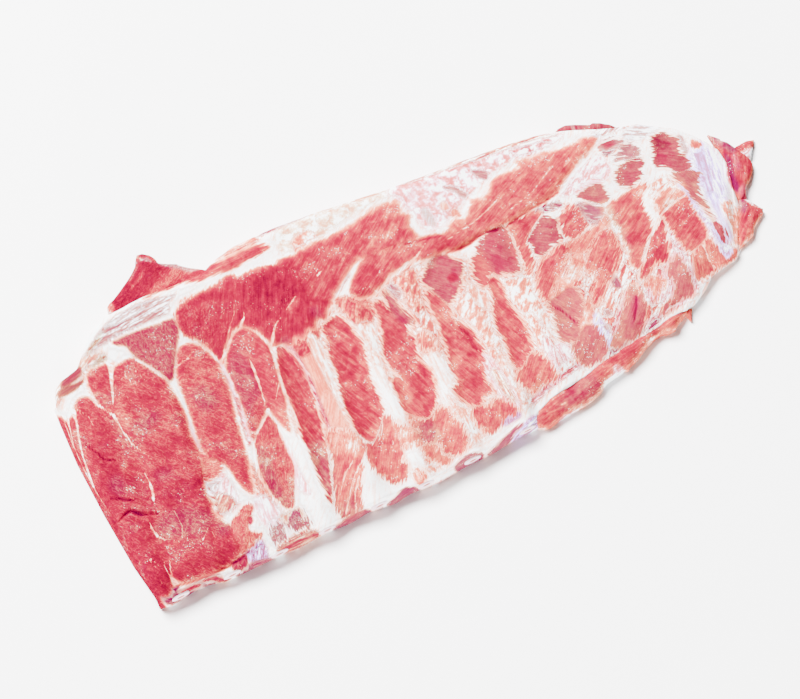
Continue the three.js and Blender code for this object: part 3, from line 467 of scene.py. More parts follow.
# Lines of fat and pale seams over the lean: (x, y, width) along each, in mm.
SEAMS = [
    [(-189, 79, 0.8), (-190.5, 70, 1.1), (-190.5, 57, 1.1), (-187, 50, 1.2), (-184, 45, 1.5),
     (-183.5, 32, 1.0), (-182, 21, 1.1), (-180, 17, 0.6), (-178, 12, 0.4)],
    [(-184, 1, 0.7), (-183.5, -6, 1.1), (-185, -14, 1.5), (-187, -19, 1.1)],
    [(-170, 80, 2.4), (-173, 72, 1.7), (-177, 62, 1.3), (-179, 57, 1.0), (-181, 52, 0.7)],
    [(-206, 60, 1.6), (-208, 50, 1.0), (-210, 44, 1.1), (-213, 34, 0.9), (-216, 20, 1.1), (-218, 8, 1.0)],
    [(-212, 57, 0.9), (-214, 48, 0.7), (-217, 40, 0.6)],
    [(-155, 74, 0.9), (-151, 68, 0.8), (-147, 60, 0.8), (-143, 51, 1.2)],
    [(-195, -30, 0.5), (-196, -34, 0.9), (-195, -41, 1.4), (-192, -45, 1.0), (-188, -47, 0.6),
     (-184, -51, 0.9)],
    [(-199, -58, 0.6), (-200, -66, 0.8), (-199, -73, 1.2)],
    [(-195, -58, 0.5), (-198, -66, 0.8), (-199, -73, 1)],
    [(-202, -5, 0.4), (-197, -12, 0.8)],
    [(-205, -52, 0.4), (-202, -60, 0.6)],
    [(-171, -53, 0.5), (-171, -57, 0.7), (-164, -51, 0.4), (-163, -59, 0.6)],
    [(-178, -30, 0.3), (-178, -42, 0.6), (-182, -50, 0.6)],
    [(-136, 56, 0.5), (-126, 58, 0.6), (-116, 62, 0.4)],
    [(-90, 38, 0.6), (-91, 28, 1.5), (-92.5, 18, 1.2), (-95, 6, 0.6)],
    [(-86, 20, 0.4), (-81, 14, 0.7), (-88, 5, 0.4)],
    [(-118, 2, 0.4), (-109, -9, 0.8), (-102, -4, 0.9), (-95, 2, 1.2)],
    [(-113, 66, 0.6), (-110, 56, 0.8), (-108, 48, 1.0), (-107, 40, 1.0), (-107.5, 30, 1.2),
     (-109, 18, 1.1), (-111, 4, 1.1), (-115, -10, 1.4)],
    [(-107, 45, 1.1), (-98, 54, 0.9), (-91, 60, 1.0), (-86, 61.5, 1.8), (-80, 66, 0.9), (-78, 70, 0.5)],
    [(-82, 60, 0.7), (-77, 53, 0.7), (-73.5, 42, 1.2), (-75, 32, 0.8), (-78.5, 16, 1.0), (-81, 2, 1.2),
     (-84, -12, 1.4), (-86, -24, 1.4)],
    [(-73, 40, 1.2), (-68, 47, 1.3), (-64, 52, 0.8), (-58, 55, 0.4)],
    [(-53, 58, 0.4), (-47, 61.5, 0.8), (-43, 64, 0.5)],
    [(-86, -76, 0.6), (-80, -69, 0.8), (-72, -60, 0.8), (-63, -54, 0.6)],
    [(-84, -84, 0.6), (-76, -74, 0.8), (-67, -64, 0.7), (-60, -58, 0.5)],
    [(-78, -86, 0.5), (-72, -74, 0.7), (-62, -62, 0.6)],
    [(-48, -78, 0.4), (-42, -66, 0.6), (-34, -54, 0.5)],
    [(4, 34, 0.7), (6, 28, 0.8), (9, 21, 0.6)],
    [(-14, -14, 1.2), (-10, -18, 1.0), (-8, -24, 0.5)],
    [(62, 52, 0.4), (88, 56, 0.6), (98, 59, 0.8), (107, 62.5, 0.6)],
    [(-24, 70, 1.0), (-20, 72, 0.8)],
    [(103, 44, 0.8), (102.5, 32, 0.9), (101, 20, 0.9), (99, 10, 0.9)],
    [(199, 2, 0.9), (204, 3.5, 1.4), (210, 5, 1.0), (220, 6, 0.6)],
    [(212, -31, 0.7), (210, -42, 0.9), (211, -49, 0.9)],
    [(130, 17, 1.2), (133, 24, 1.2), (136, 31, 1.4)],
    [(-152, 42, 0.4), (-148, 43, 0.5)],
    [(112, 52, 0.5), (130, 56, 0.4), (150, 66, 0.3)],
    [(162, -62, 0.6), (170, -59, 0.7), (180, -60, 0.6), (188, -60.5, 0.5)],
    [(-175, 66, 0.4), (-170, 64, 0.5), (-164, 68, 0.4), (-158, 65, 0.4)],
    [(-178, 60, 0.4), (-172, 56, 0.5), (-169, 48, 0.4)],
    [(-166, 69, 0.4), (-164, 60, 0.5), (-160, 54, 0.4)],
    [(-158, 67, 0.4), (-156, 58, 0.5), (-151, 52, 0.4)],
    [(-203, 60, 0.4), (-199, 52, 0.5), (-198, 40, 0.4)],
    [(-215, 56, 0.5), (-217.5, 40, 0.6), (-218.5, 22, 0.5), (-218, 4, 0.6), (-216, -14, 0.4)],
    [(-207, -48, 0.4), (-205, -58, 0.5), (-206, -70, 0.4)],
    [(-130, 61, 0.4), (-127, 57, 0.4), (-121, 58, 0.5), (-116, 55, 0.4)],
    [(-86, 56, 0.4), (-88, 46, 0.4), (-87, 34, 0.4)],
    [(10, 43, 0.9), (20, 47.5, 1.3), (33, 49, 1.2), (41, 52, 0.8), (50, 57, 0.5)],
    [(-102, 52, 0.5), (-96, 58, 0.6), (-90, 66, 0.5), (-84, 72, 0.5), (-80, 80, 0.3)],
]

# ---- fat, membrane and cartilage ----
# A stained stretch of the pale parts: paleness, the way its streaks run, softness (mm), outline,
# hue and how its streaks are broken up.
Stain = namedtuple("Stain", "pale fibre soft outline hue weave", defaults=("plain", "streaks"))
WEAVES = {"streaks": (1, 1, 1), "curds": (1.9, 0.7, 1), "blotches": (2.0, 0.27, 1), "flat": (1, 1, 1)}
CALM = 0.35  # strength of the pattern in a flat stain
VEILED = 0.55  # and on lean that lies under a membrane

STAINS = [
    (0.86, 56, 5, [  # ground between the ribs of the middle
        (-64, 40), (-20, 46), (40, 48), (64, 40), (90, 10), (100, -20), (100, -60), (60, -74), (0, -84),
        (-34, -84), (-30, -40), (-44, 10), (-60, -40), (-66, -30)], "plain", "curds"),
    (0.80, 38, 5, [  # ground of the right half
        (80, 10), (100, 10), (110, 12), (134, 14), (156, 12), (168, 20), (168, -24), (196, -20),
        (196, -56), (160, -62), (100, -70), (92, -40)]),
    (0.88, 60, 4, [(196, -34), (200, 20), (222, 18), (230, -36), (226, -50), (196, -54)]),
    (0.50, 80, 1.5, [
        (-111, 45), (-107, 45), (-106, 30), (-108, 10), (-111, -8), (-117, -14), (-115, -4), (-113, 8),
        (-110.5, 25)], "pink"),
    (0.84, 85, 1.5, [(-147, 16), (-143, 20), (-144, 0), (-146, -12), (-150, -14), (-148, 0)], "pink"),
    (0.79, 5, 1.5, [
        (-184, 91), (-178, 95), (-170, 101), (-160, 105.5), (-150, 108), (-130, 108), (-118, 104),
        (-112, 102.5), (-118, 99), (-122, 93), (-140, 93.5), (-165, 92.5)], "mauve"),
    (0.80, 4, 1.2, [(-182, 91), (-168, 97), (-166, 101), (-178, 96)], "brown"),
    (0.87, 4, 1.2, [(-165, 103), (-150, 106), (-136, 107), (-138, 103), (-152, 102)], "mauve"),
    (0.82, 30, 3, [
        (-216, 70), (-206, 89), (-184, 92), (-172, 88), (-176, 82), (-188, 80), (-204, 76),
        (-212, 68)], "dusky"),
    (0.54, 12, 1.0, [
        (-211, 75), (-204, 78), (-198, 77), (-190, 77), (-196, 73.5), (-206, 72.5)], "brown", "flat"),
    (0.50, 14, 1.2, [
        (-206, 79), (-203, 84), (-197, 86.5), (-189, 86), (-191, 81), (-198, 78.5)], "brown", "flat"),
    (0.74, 20, 1.5, [(-182, 82), (-176, 86), (-171, 86), (-172, 82)], "brown"),
    (0.78, 40, 2, [
        (-160, -16), (-148, -12), (-149, -20), (-155, -28), (-153, -40), (-154, -52),
        (-160, -50)], "plain", "curds"),
    (0.90, 60, 2, [(-155, -20), (-142, -18), (-138, -30), (-140, -46), (-154, -46)], "pink"),
    (0.72, 40, 2, [(-155, -33), (-144, -36), (-142, -46), (-154, -46)], "dusky"),
    (0.84, 55, 2, [(-152, -22), (-142, -20), (-146, -30), (-154, -30)], "mauve"),
    (0.72, 70, 2, [
        (-125, -20), (-119, -30), (-119.5, -44), (-118, -58), (-122, -60), (-127, -46), (-127, -34)]),
    (0.94, 80, 3, [(-132, -48), (-124, -48), (-118, -62), (-122, -70), (-133, -66)], "pink"),
    (0.86, 20, 2, [(-121, -64), (-108, -66), (-108, -72), (-120, -71)], "dusky"),
    (0.92, 60, 2, [(-110, -14), (-97, -10), (-96, -60), (-104, -50), (-100, -30)], "pink"),
    (0.79, 84, 1.5, [
        (-62, 36), (-50, 35), (-41, 38), (-44, 28), (-51, 16), (-53, -8), (-52.5, -26), (-53, -42),
        (-58, -46), (-71, -38), (-68, -20), (-64, -4), (-62, 16)], "plain", "flat"),
    (0.80, 56, 2, [
        (-64, -8), (-54, -6), (-53, -40), (-60, -46), (-72, -38), (-68, -20)], "plain", "flat"),
    (0.48, 50, 2, [(-64, 40), (-41, 40), (-44, 30), (-54, 24), (-62, 26)], "plain", "curds"),
    (0.62, 54, 1.5, [
        (-22, 50), (-6, 46), (-1, 38), (-3, 28), (-14, 20), (-19, 30), (-21, 40)], "plain", "curds"),
    (0.93, 80, 2, [(-20, 26), (-8, 24), (-12, 6), (-17, -6), (-25, -6), (-22, 10)], "plain", "curds"),
    (0.98, 84, 1.5, [
        (-25, -4), (-17, -6), (-19, -20), (-18, -38), (-21, -50), (-22, -66), (-26, -84), (-34, -84),
        (-31, -64), (-29, -44), (-31, -34), (-28, -14)]),
    (0.93, 85, 1.2, [
        (-51, 34), (-46, 36), (-43.5, 26), (-46, 12), (-48, 0), (-50, -10), (-51.5, -24), (-52, -38),
        (-54, -38), (-54, -20), (-52.5, -4), (-52, 12)]),
    (0.62, 88, 0.8, [
        (-65, 36), (-62, 38), (-60.5, 26), (-60.5, 10), (-62.5, -10), (-65, -26), (-67, -26), (-65, -8),
        (-64, 10)], "pink"),
    (0.99, 60, 1.5, [(-55, -57), (-62, -62), (-71, -78), (-73, -90), (-52, -90), (-54, -76), (-56, -68)]),
    (0.98, 5, 1.5, [
        (-36, -86), (-24, -87), (-8, -86), (8, -84), (20, -82), (34, -79), (46, -75), (46, -80),
        (34, -84), (20, -88), (0, -90), (-36, -91)]),
    (0.97, 85, 2.6, [
        (10, -14), (18, -12), (22, -28), (19, -38), (15, -46), (8, -52), (5, -46), (9, -34), (11, -24)]),
    (0.80, 40, 1.5, [(-24, 50), (-8, 58), (-4, 62), (-8, 62), (-20, 55)], "mauve"),
    (0.74, 50, 1.5, [
        (18, 46), (33, 47), (34, 36), (31, 26), (29, 16), (24, 12), (18, 22),
        (20, 34)], "plain", "curds"),
    (0.69, 130, 1.2, [(12, 41), (17, 42), (19, 34), (15, 30), (12, 36)], "mauve"),
    (0.98, 80, 1.5, [(9, 21), (14, 19), (19, 12), (21, 4), (13, 2), (10, 8)]),
    (0.82, 45, 2, [(14, 10), (28, 14), (27, 0), (22, -8), (11, -12)], "plain", "curds"),
    (0.76, 60, 2, [(22, -2), (28, -6), (27, -18), (22, -18)], "plain", "curds"),
    (0.91, 84, 3, [(10, -44), (18, -52), (19, -76), (9, -80)], "plain", "curds"),
    (0.87, 44, 2, [
        (42, 10), (56, 14), (66, 6), (62, -14), (58, -30), (48, -24), (46, -4)], "plain", "curds"),
    (0.90, 80, 2, [(51, -38), (60, -34), (60, -66), (50, -70), (50, -52)], "plain", "curds"),
    (0.88, 88, 2, [(42, -30), (49, -34), (50, -70), (43, -68), (40, -48)], "pink"),
    (0.80, 88, 1.5, [(43, -44), (48, -44), (49, -66), (44, -66)], "dusky"),
    (0.90, 62, 2, [(60, 22), (66, 12), (70, 6), (64, -4), (58, 6)], "plain", "curds"),
    (0.89, 45, 2, [(80, 6), (98, 12), (100, -14), (92, -26), (80, -20)], "plain", "curds"),
    (0.88, 62, 2, [(79, -22), (88, -20), (86, -40), (82, -56), (76, -46)], "plain", "curds"),
    (0.93, 76, 1.5, [(91, -24), (99, -26), (96, -44), (90, -46)], "plain", "curds"),
    (0.90, 72, 2, [(82, -42), (88, -40), (86, -60), (81, -62)], "pink"),
    (0.91, 84, 2, [(89, -46), (97, -50), (97, -58), (88, -60)], "pink"),
    (0.75, 50, 2, [(110, -38), (122, -30), (120, -46), (104, -48)]),
    (0.95, 84, 2, [(119, -44), (125, -40), (125, -60), (119, -64)], "lilac"),
    (0.86, 40, 1.5, [(128, -32), (138, -26), (142, -32), (134, -46), (126, -42)]),
    (0.81, 45, 1.5, [(126, -56), (144, -40), (152, -32), (140, -48), (130, -58)], "pink"),
    (0.58, 80, 1.2, [(144, -21), (149, -21), (149, -31), (145, -30)], "mauve", "flat"),
    (0.78, 80, 0.8, [(130, -40), (134, -43), (133, -46), (129, -44)], "mauve", "flat"),
    (0.78, 80, 0.8, [(124, -49), (128, -51), (127, -54), (124, -53)], "mauve", "flat"),
    (0.83, 34, 3, [
        (178, -34), (190, -26), (198, -10), (197, -52), (184, -58), (160, -50), (160, -40)], "pink"),
    (0.78, 140, 2, [(150, 34), (157, 34), (166, 18), (158, 14), (150, 22)], "mauve"),
    (0.62, 140, 1.5, [(122, 44), (140, 44), (144, 38), (128, 40)], "mauve"),
    (0.77, 20, 1, [(141, 36), (148, 38), (148, 35), (142, 34)]),
    (0.96, 75, 4, [(236, 30), (252, 36), (255, 16), (250, 0), (246, -8), (238, -12), (232, 4)], "lilac"),
    (0.88, 75, 2.5, [
        (241, 31), (249, 29), (248, 20), (243, 8), (240, -2), (235, -10), (234, 2),
        (237, 16)], "lilac", "flat"),
    (0.93, 80, 3, [(233, 0), (240, -4), (236, -16), (233, -34), (228, -36), (231, -14)], "lilac", "flat"),
    (0.82, 75, 1.5, [(238, 46), (242, 46), (240, 34), (236, 34)], "mauve", "flat"),
    (0.92, 78, 2, [
        (219, 12), (223, 12), (225, -18), (228, -40), (230, -46), (220, -46), (221, -20)], "lilac"),
    (0.93, 150, 2, [(206, 66), (224, 68), (234, 60), (222, 56), (208, 58)], "mauve"),
    (0.42, 165, 1.5, [(188, 64), (200, 60), (206, 50), (200, 58), (188, 56)], "plum"),
    (0.92, 0, 4, [
        (-36, 94), (-30, 114), (10, 114), (48, 106), (50, 98), (20, 98), (-4, 94)], "dusky", "blotches"),
    (0.82, 0, 2, [(-28, 92), (-26, 102), (-14, 102), (-12, 93)], "plain", "blotches"),
    (0.93, 0, 3, [(-4, 110), (14, 106), (14, 98), (-4, 98)], "dusky", "blotches"),
    (0.90, 0, 4, [
        (50, 106), (120, 99), (166, 88), (166, 82), (130, 83), (108, 80), (92, 74), (60, 62),
        (52, 80)], "pink", "blotches"),
    (0.80, 0, 3, [(132, 90), (150, 88), (160, 82), (140, 82)], "pink", "blotches"),
    (0.72, 172, 1.5, [
        (56, 105), (90, 101), (130, 97), (152, 93), (168, 85), (150, 90), (120, 93.5), (90, 98),
        (60, 102)], "dusky"),
    (0.86, 60, 1.2, [(58, 79), (63, 79), (63, 66), (59, 67)], "mauve", "flat"),
    (0.76, 120, 1.5, [(79, 88), (86, 86), (92, 76), (88, 74), (84, 82)], "mauve", "flat"),
    (0.68, 140, 1.2, [(102, 90), (107, 88), (111, 84), (109, 79), (105, 82)], "mauve", "flat"),
    (0.84, 60, 1.0, [(72, 78), (76, 78), (76, 72), (71, 73)], "plain", "flat"),
    (0.72, 60, 1.0, [(76, 70), (80, 70), (80, 64), (75, 65)], "plain", "flat"),
    (0.90, 90, 1.0, [(56, 94), (60, 94), (60, 90), (57, 90)], "pink", "flat"),
    (0.93, 30, 3, [(150, 50), (178, 60), (186, 56), (182, 42), (150, 42)], "pink", "curds"),
    (0.88, 20, 3, [(188, 76), (206, 74), (212, 68), (198, 70), (186, 68)], "mauve"),
    (0.74, 4, 1.2, [(-78, 112.5), (-70, 116), (-60, 119), (-50, 117), (-46, 111), (-64, 110)]),
    (0.74, 172, 1.2, [(-46, 114), (-30, 118), (-10, 115), (-8, 112), (-30, 113)], "mauve"),
    (0.90, 170, 0.8, [(22, 107.5), (44, 106), (44, 103.5), (22, 105)], "dusky"),
    (0.46, 0, 1.5, [(-211, -77), (-200, -76.5), (-198, -81), (-202, -86), (-211, -84)], "mauve", "curds"),
    (0.34, 0, 1.0, [
        (-209, -77), (-202, -75.5), (-198, -77), (-201, -78.5), (-208, -80)], "plum", "blotches"),
    (0.60, 0, 1.2, [
        (-199, -79), (-182, -79), (-172, -81), (-176, -88), (-190, -87), (-200, -85)], "mauve", "curds"),
    (0.76, 60, 1.5, [
        (-153, -77), (-144, -74), (-138, -74), (-139, -84), (-142, -89), (-150, -86)], "lilac"),
    (0.58, 0, 1.2, [(-163, -85.5), (-152, -84), (-141, -87), (-141, -92), (-163, -92)], "mauve"),
    (0.64, 0, 1.2, [(-131, -82), (-109, -82), (-107, -90), (-131, -90)], "dusky"),
    (0.66, 0, 0.8, [
        (-71, -92.5), (-52, -92), (-35, -94), (-8, -94), (14, -94), (50, -92), (50, -98),
        (-71, -98)], "mauve"),
    (0.72, 10, 1.2, [(33, -76), (44, -74), (46, -79), (34, -80)], "lilac", "flat"),
    (0.88, 10, 1.5, [(34, -89), (44, -84), (54, -82), (56, -92), (34, -93)], "lilac"),
    (0.72, 8, 1.0, [
        (58, -76), (72, -72), (90, -69), (104, -68), (104, -64), (90, -65), (72, -68),
        (58, -72)], "pink"),
    (0.70, 5, 1.0, [(150, -63), (172, -62), (186, -60), (186, -57.5), (168, -59), (150, -60)], "pink"),
    (0.73, 5, 1.5, [
        (106, -66), (120, -66), (132, -66), (160, -62), (160, -65), (132, -70), (106, -70)], "mauve"),
]

# Folds and clefts, sunk into the relief and darkened with painted shade: depth (mm), then (x, y, width)
# along each.
CLEFTS = [
    (1.2, [(-209, 37, 0.4), (-205, 29, 0.7), (-202, 20, 0.5), (-196, 17, 0.3)]),
    (1.2, [(-211, -4, 0.4), (-204, -8, 0.7), (-199, -12, 0.5), (-195, -13, 0.3)]),
    (2.2, [(-212, -20, 0.4), (-206, -18, 0.8), (-202, -18, 0.9), (-198, -23, 0.9), (-194, -25, 0.6),
           (-188, -28, 0.3)]),
    (1.4, [(-201, -75, 0.6), (-192, -77, 0.8), (-180, -78.5, 0.8), (-168, -79.5, 0.9), (-158, -79, 0.8),
           (-148, -76.5, 0.4)]),
    (1.3, [(58, 45, 0.5), (68, 43, 1.0), (76, 43.5, 0.9), (84, 45.5, 0.8), (91, 45.5, 0.8),
           (97, 43.5, 0.7)]),
    (0.9, [(103, 42.5, 0.4), (112, 44.5, 0.6), (124, 46, 0.7), (136, 46.5, 0.5), (146, 48, 0.3)]),
    (1.6, [(41, -6, 0.6), (43, -12, 0.9), (43, -22, 0.7), (45, -28, 0.4)]),
    (0.8, [(-96, -88.8, 0.4), (-103, -88.3, 0.6), (-109, -87, 0.4)]),
    (0.6, [(144, -56, 0.5), (150, -48, 0.6), (154, -41, 0.4)]),
    (0.6, [(38, 62, 0.4), (50, 60, 0.6), (62, 57, 0.4)]),
    (0.6, [(101, -21, 0.4), (106, -28, 0.5), (110, -40, 0.4)]),
]

# ---- plan functions ----

LATTICE = 64  # cells along each side of a noise pattern before it repeats
TINY = 1e-6  # keeps a division away from 0


def along(points, x):
    """Value at x on a line through (x, value) points."""
    px, pv = zip(*points)
    return np.interp(x, px, pv)


def smoothstep(x, low, high):
    """0 up to low and 1 from high on, with a smooth rise between them."""
    t = np.clip((x - low) / (high - low), 0, 1)
    return t * t * (3 - 2 * t)


def lerp(a, b, t):
    return a + (b - a) * t


def rib_x(rib, y):
    """x of a rib line at y."""
    low, mid, top = rib
    near = lerp(mid, low, np.clip(y / RIB_LOW_Y, 0, 1))
    far = lerp(mid, top, np.clip(y / RIB_TOP_Y, 0, 1))
    return np.where(y < 0, near, far)


def soft_noise(x, y, size, seed):
    """Smooth noise between -1 and 1 with features about size mm across."""
    rng = np.random.default_rng(seed)
    lattice = rng.uniform(-1, 1, (LATTICE, LATTICE))
    u, v = x / size, y / size
    iu, iv = np.floor(u).astype(int), np.floor(v).astype(int)
    fu, fv = smoothstep(u - iu, 0, 1), smoothstep(v - iv, 0, 1)

    def row(b):
        ends = (lattice[(iu + a) % LATTICE, (iv + b) % LATTICE] for a in (0, 1))
        return lerp(*ends, fu)

    return lerp(row(0), row(1), fv)


def rounded(points, steps=4):
    """Closed outline through the points, rounded by a spline."""
    p = np.asarray(points, float)
    before, after, beyond = np.roll(p, 1, 0), np.roll(p, -1, 0), np.roll(p, -2, 0)
    out = []
    for t in np.arange(steps) / steps:
        out.append(0.5 * (2 * p + (after - before) * t
                          + (2 * before - 5 * p + 4 * after - beyond) * t ** 2
                          + (3 * p - before - 3 * after + beyond) * t ** 3))
    return np.stack(out, 1).reshape(-1, 2)


def nearest_share(x, y, ax, ay, dx, dy):
    """Where on the line from (ax, ay) along (dx, dy) each point is nearest, from 0 to 1."""
    return np.clip(((x - ax) * dx + (y - ay) * dy) / (dx * dx + dy * dy + TINY ** 2), 0, 1)


def signed_distance(px, py, points, reach):
    """Distance to an outline in mm, positive inside it; -reach further away than that."""
    loop = rounded(points)
    result = np.full(px.shape, -reach, float)
    (x0, y0), (x1, y1) = loop.min(0) - reach, loop.max(0) + reach
    near = np.nonzero((px > x0) & (px < x1) & (py > y0) & (py < y1))[0]
    x, y = px[near], py[near]
    best = np.full(x.shape, reach ** 2)
    inside = np.zeros(x.shape, bool)
    for (ax, ay), (bx, by) in zip(loop, np.roll(loop, -1, 0)):
        dx, dy = bx - ax, by - ay
        t = nearest_share(x, y, ax, ay, dx, dy)
        best = np.minimum(best, (x - ax - t * dx) ** 2 + (y - ay - t * dy) ** 2)
        if ay != by:
            inside ^= ((ay > y) != (by > y)) & (x < ax + (y - ay) * dx / dy)
    distance = np.sqrt(best)
    result[near] = np.where(inside, np.minimum(distance, reach), -distance)
    return result


def line_closeness(px, py, line):
    """How near points are to a line of (x, y, width): 1 on it, 0 far off, and its width there."""
    result = np.zeros(px.shape)
    width = np.zeros(px.shape)
    for (ax, ay, aw), (bx, by, bw) in zip(line, line[1:]):
        reach = 3 * max(aw, bw)
        near = np.nonzero((px > min(ax, bx) - reach) & (px < max(ax, bx) + reach)
                          & (py > min(ay, by) - reach) & (py < max(ay, by) + reach))[0]
        x, y = px[near], py[near]
        dx, dy = bx - ax, by - ay
        t = nearest_share(x, y, ax, ay, dx, dy)
        local = lerp(aw, bw, t)
        close = np.exp(-(np.hypot(x - ax - t * dx, y - ay - t * dy) / local) ** 2)
        nearer = close > result[near]
        result[near] = np.where(nearer, close, result[near])
        width[near] = np.where(nearer, local, width[near])
    return result, width


# ---- the surface's painted fields ----
# Lengths are in mm.

REACH = 8.0  # how far from a muscle's outline its distance is worked out
STAIN_REACH = 6.0  # and from a stain's
FAT_PALENESS = 0.99
FAT_FIBRE = 48  # way of the fat's streaks in degrees, where it has no stain
SEAM_PALENESS = 0.89
SEAM_DEPTH = 0.4
SEAM_FINE, SEAM_WIDE = 0.9, 1.7  # a fine seam is cream, a wide one as white as fat
SEAM_WIDTH, SEAM_CHANGE = 0.55, 0.9  # mean of a seam's drawn width that shows, and how much it changes
SEAM_LEAST, SEAM_MOST, SEAM_STEP = 0.12, 1.2, 4.5  # its limits, and the mm from one change to the next
SEAM_CREAM, SEAM_PART = (0.1, 0.5), (0.05, 0.8)  # closeness over which it turns cream and parts the lean
GROWTH = 0.4  # how far lean reaches over its outline
MEET = 0.5  # half the width over which one muscle turns into the next
VEIL_EDGE = (-1.5, 0.5)  # from its border, where its own strength of pattern sets in
SPILL = 3  # how far a muscle's fibres run on past its border
LIFTED = 5  # how far in from its border a muscle has its full lift
WEB_FROM, WEB_TO, WEB_LEAST = -112, -78, 0.25  # x where the wrinkles fade, and what stays of them
VIVID_FROM, VIVID_TO = 60, 95  # x where the pattern grows stronger
VIVID_LEFT, VIVID_RIGHT = 0.8, 1.2  # its strength left and right of that
GRAIN_STEP = 40  # sets the fibres of two patches apart in the noise
LEAN_GRAIN, FLAP_GRAIN = 80, 150  # numbers for that of the first muscle and of a flap
SIDE_GRAIN = 0.5  # how fast the fibres change down a steep side

PAINTED = ("lean", "pale", "hue", "ground", "ground_hue", "feather", "rim", "grain", "dark", "web", "vivid")


class Fields:
    """Everything that is painted on the meat, worked out at drawn points px, py."""

    def __init__(self, px, py):
        count = len(px)
        self.lean = np.full(count, -REACH)
        self.pale = np.full(count, 0.5)
        self.hue = np.ones((count, 3))
        self.ground = np.full(count, FAT_PALENESS)
        self.ground_hue = np.ones((count, 3))
        self.feather = np.ones(count)
        self.rim = np.ones(count)
        self.grain = np.zeros((count, 3))
        self.turn_grain(np.ones(count, bool), px, py, FAT_FIBRE, -1)
        self.relief = np.zeros(count)
        # dark holds the painted shade of the clefts.
        self.dark = np.zeros(count)
        self.web = lerp(1, WEB_LEAST, smoothstep(px, WEB_FROM, WEB_TO))
        self.vivid = np.ones(count)
        self.paint_stains(px, py)
        self.vivid *= lerp(VIVID_LEFT, VIVID_RIGHT, smoothstep(px, VIVID_FROM, VIVID_TO))
        self.paint_lean(px, py)
        self.paint_tints(px, py, LEAN_TINTS)
        self.paint_seams(px, py)
        self.paint_clefts(px, py)

    def toward(self, weight, **targets):
        """Moves the named fields towards their targets by each point's weight."""
        for name, target in targets.items():
            field = getattr(self, name)
            field += (np.asarray(target) - field) * (weight if field.ndim == 1 else weight[:, None])

    def turn_grain(self, where, px, py, angle, number):
        """Fibre coordinates along and across an angle, apart from the other patches'."""
        c, s = math.cos(math.radians(angle)), math.sin(math.radians(angle))
        self.grain[where, 0] = px[where] * c + py[where] * s
        self.grain[where, 1] = -px[where] * s + py[where] * c
        self.grain[where, 2] = GRAIN_STEP * number

    def paint_stains(self, px, py):
        for number, stain in enumerate(Stain(*row) for row in STAINS):
            inside = signed_distance(px, py, stain.outline, STAIN_REACH)
            weight = smoothstep(inside, -stain.soft, stain.soft)
            where = inside > 0
            self.turn_grain(where, px, py, stain.fibre, number)
            self.grain[where] *= WEAVES[stain.weave]
            self.toward(weight, ground=stain.pale, ground_hue=HUES[stain.hue],
                        vivid=CALM if stain.weave == "flat" else 1.0)

    def paint_lean(self, px, py):
        for number, patch in enumerate(Patch(*row) for row in LEAN):
            inside = signed_distance(px, py, patch.outline, REACH) + GROWTH
            ahead = inside > self.lean
            weight = smoothstep(inside - self.lean, -MEET, MEET) * (inside > GROWTH - REACH)
            self.toward(weight, pale=patch.pale, hue=HUES[patch.hue], feather=patch.feather, rim=patch.rim)
            self.toward(weight * smoothstep(inside, *VEIL_EDGE),
                        vivid=1.0 if patch.hue in ("plain", "pink") else VEILED)
            self.lean = np.maximum(self.lean, inside)
            self.turn_grain(ahead & (inside > -SPILL), px, py, patch.fibre, LEAN_GRAIN + number)
            self.relief += patch.lift * smoothstep(inside, -MEET, LIFTED)

    def paint_tints(self, px, py, rows):
        for tint in (Tint(*row) for row in rows):
            inside = signed_distance(px, py, tint.outline, 2 * tint.soft)
            self.toward(smoothstep(inside, -tint.soft, tint.soft), pale=tint.pale, hue=HUES[tint.hue])

    def paint_seams(self, px, py):
        change = SEAM_CHANGE * soft_noise(px, py, SEAM_STEP, 21)
        swelling = np.clip(SEAM_WIDTH + change, SEAM_LEAST, SEAM_MOST)
        for seam in SEAMS:
            close, width = line_closeness(px, py, seam)
            width = width * swelling
            self.toward(smoothstep(close, *SEAM_CREAM) * smoothstep(width, SEAM_WIDE, SEAM_FINE),
                        ground=SEAM_PALENESS)
            parted = lerp(self.lean, -1.5 * width, smoothstep(close, *SEAM_PART))
            self.lean = np.where(close > 0.01, np.minimum(self.lean, parted), self.lean)
            self.relief -= SEAM_DEPTH * close

    def paint_clefts(self, px, py):
        for depth, line in CLEFTS:
            close, _ = line_closeness(px, py, line)
            self.relief -= depth * close
            # Painted shade along the cleft, kept in the dark field.
            self.dark = np.maximum(self.dark, close)


def drawn(x, y, z):
    """Where a surface point falls on the level sheet that the patches are drawn on."""
    return x - (DRAWN_AT - z) * SLANT[0], y - (DRAWN_AT - z) * SLANT[1]


def sheet_height(x, y):
    """Height of the sheet's top from its main forms, away from its edges."""
    sawn, fat = along(SHEET_EDGE, x), along(FAT_EDGE, x)
    z = lerp(along(SAWN_HEIGHT, x), along(RIB_HEIGHT, x), smoothstep(y - sawn, 0, SAWN_RISE))
    z = lerp(z, along(FAT_HEIGHT, x), smoothstep(y - fat, *FAT_RISE))
    fade = 1 - smoothstep(y, *RIBS_FADE)
    for rib, relief in zip(RIBS, RIB_RELIEF):
        d = np.clip(np.abs(x - rib_x(rib, y)) / RIB_HALF_WIDTH, 0, 1)
        z += relief * fade * 0.5 * (1 + np.cos(math.pi * d))
    near, far = along(SKIRT_NEAR, x), along(SKIRT_FAR, x)
    ends = smoothstep(x, *SKIRT_START) * (1 - smoothstep(x, *SKIRT_END))
    rise = smoothstep(y - near, *SKIRT_RISE)
    fall = 1 - smoothstep(y - far, *SKIRT_FALL)
    z += along(SKIRT_HEIGHT, x) * ends * rise * fall
    swell = np.exp(-((y - SWELL_Y) / SWELL_WIDTH) ** 2)
    z += SWELL_HEIGHT * swell * (1 - smoothstep(x, *SWELL_FADE))
    return z


# ---- mesh helpers ----


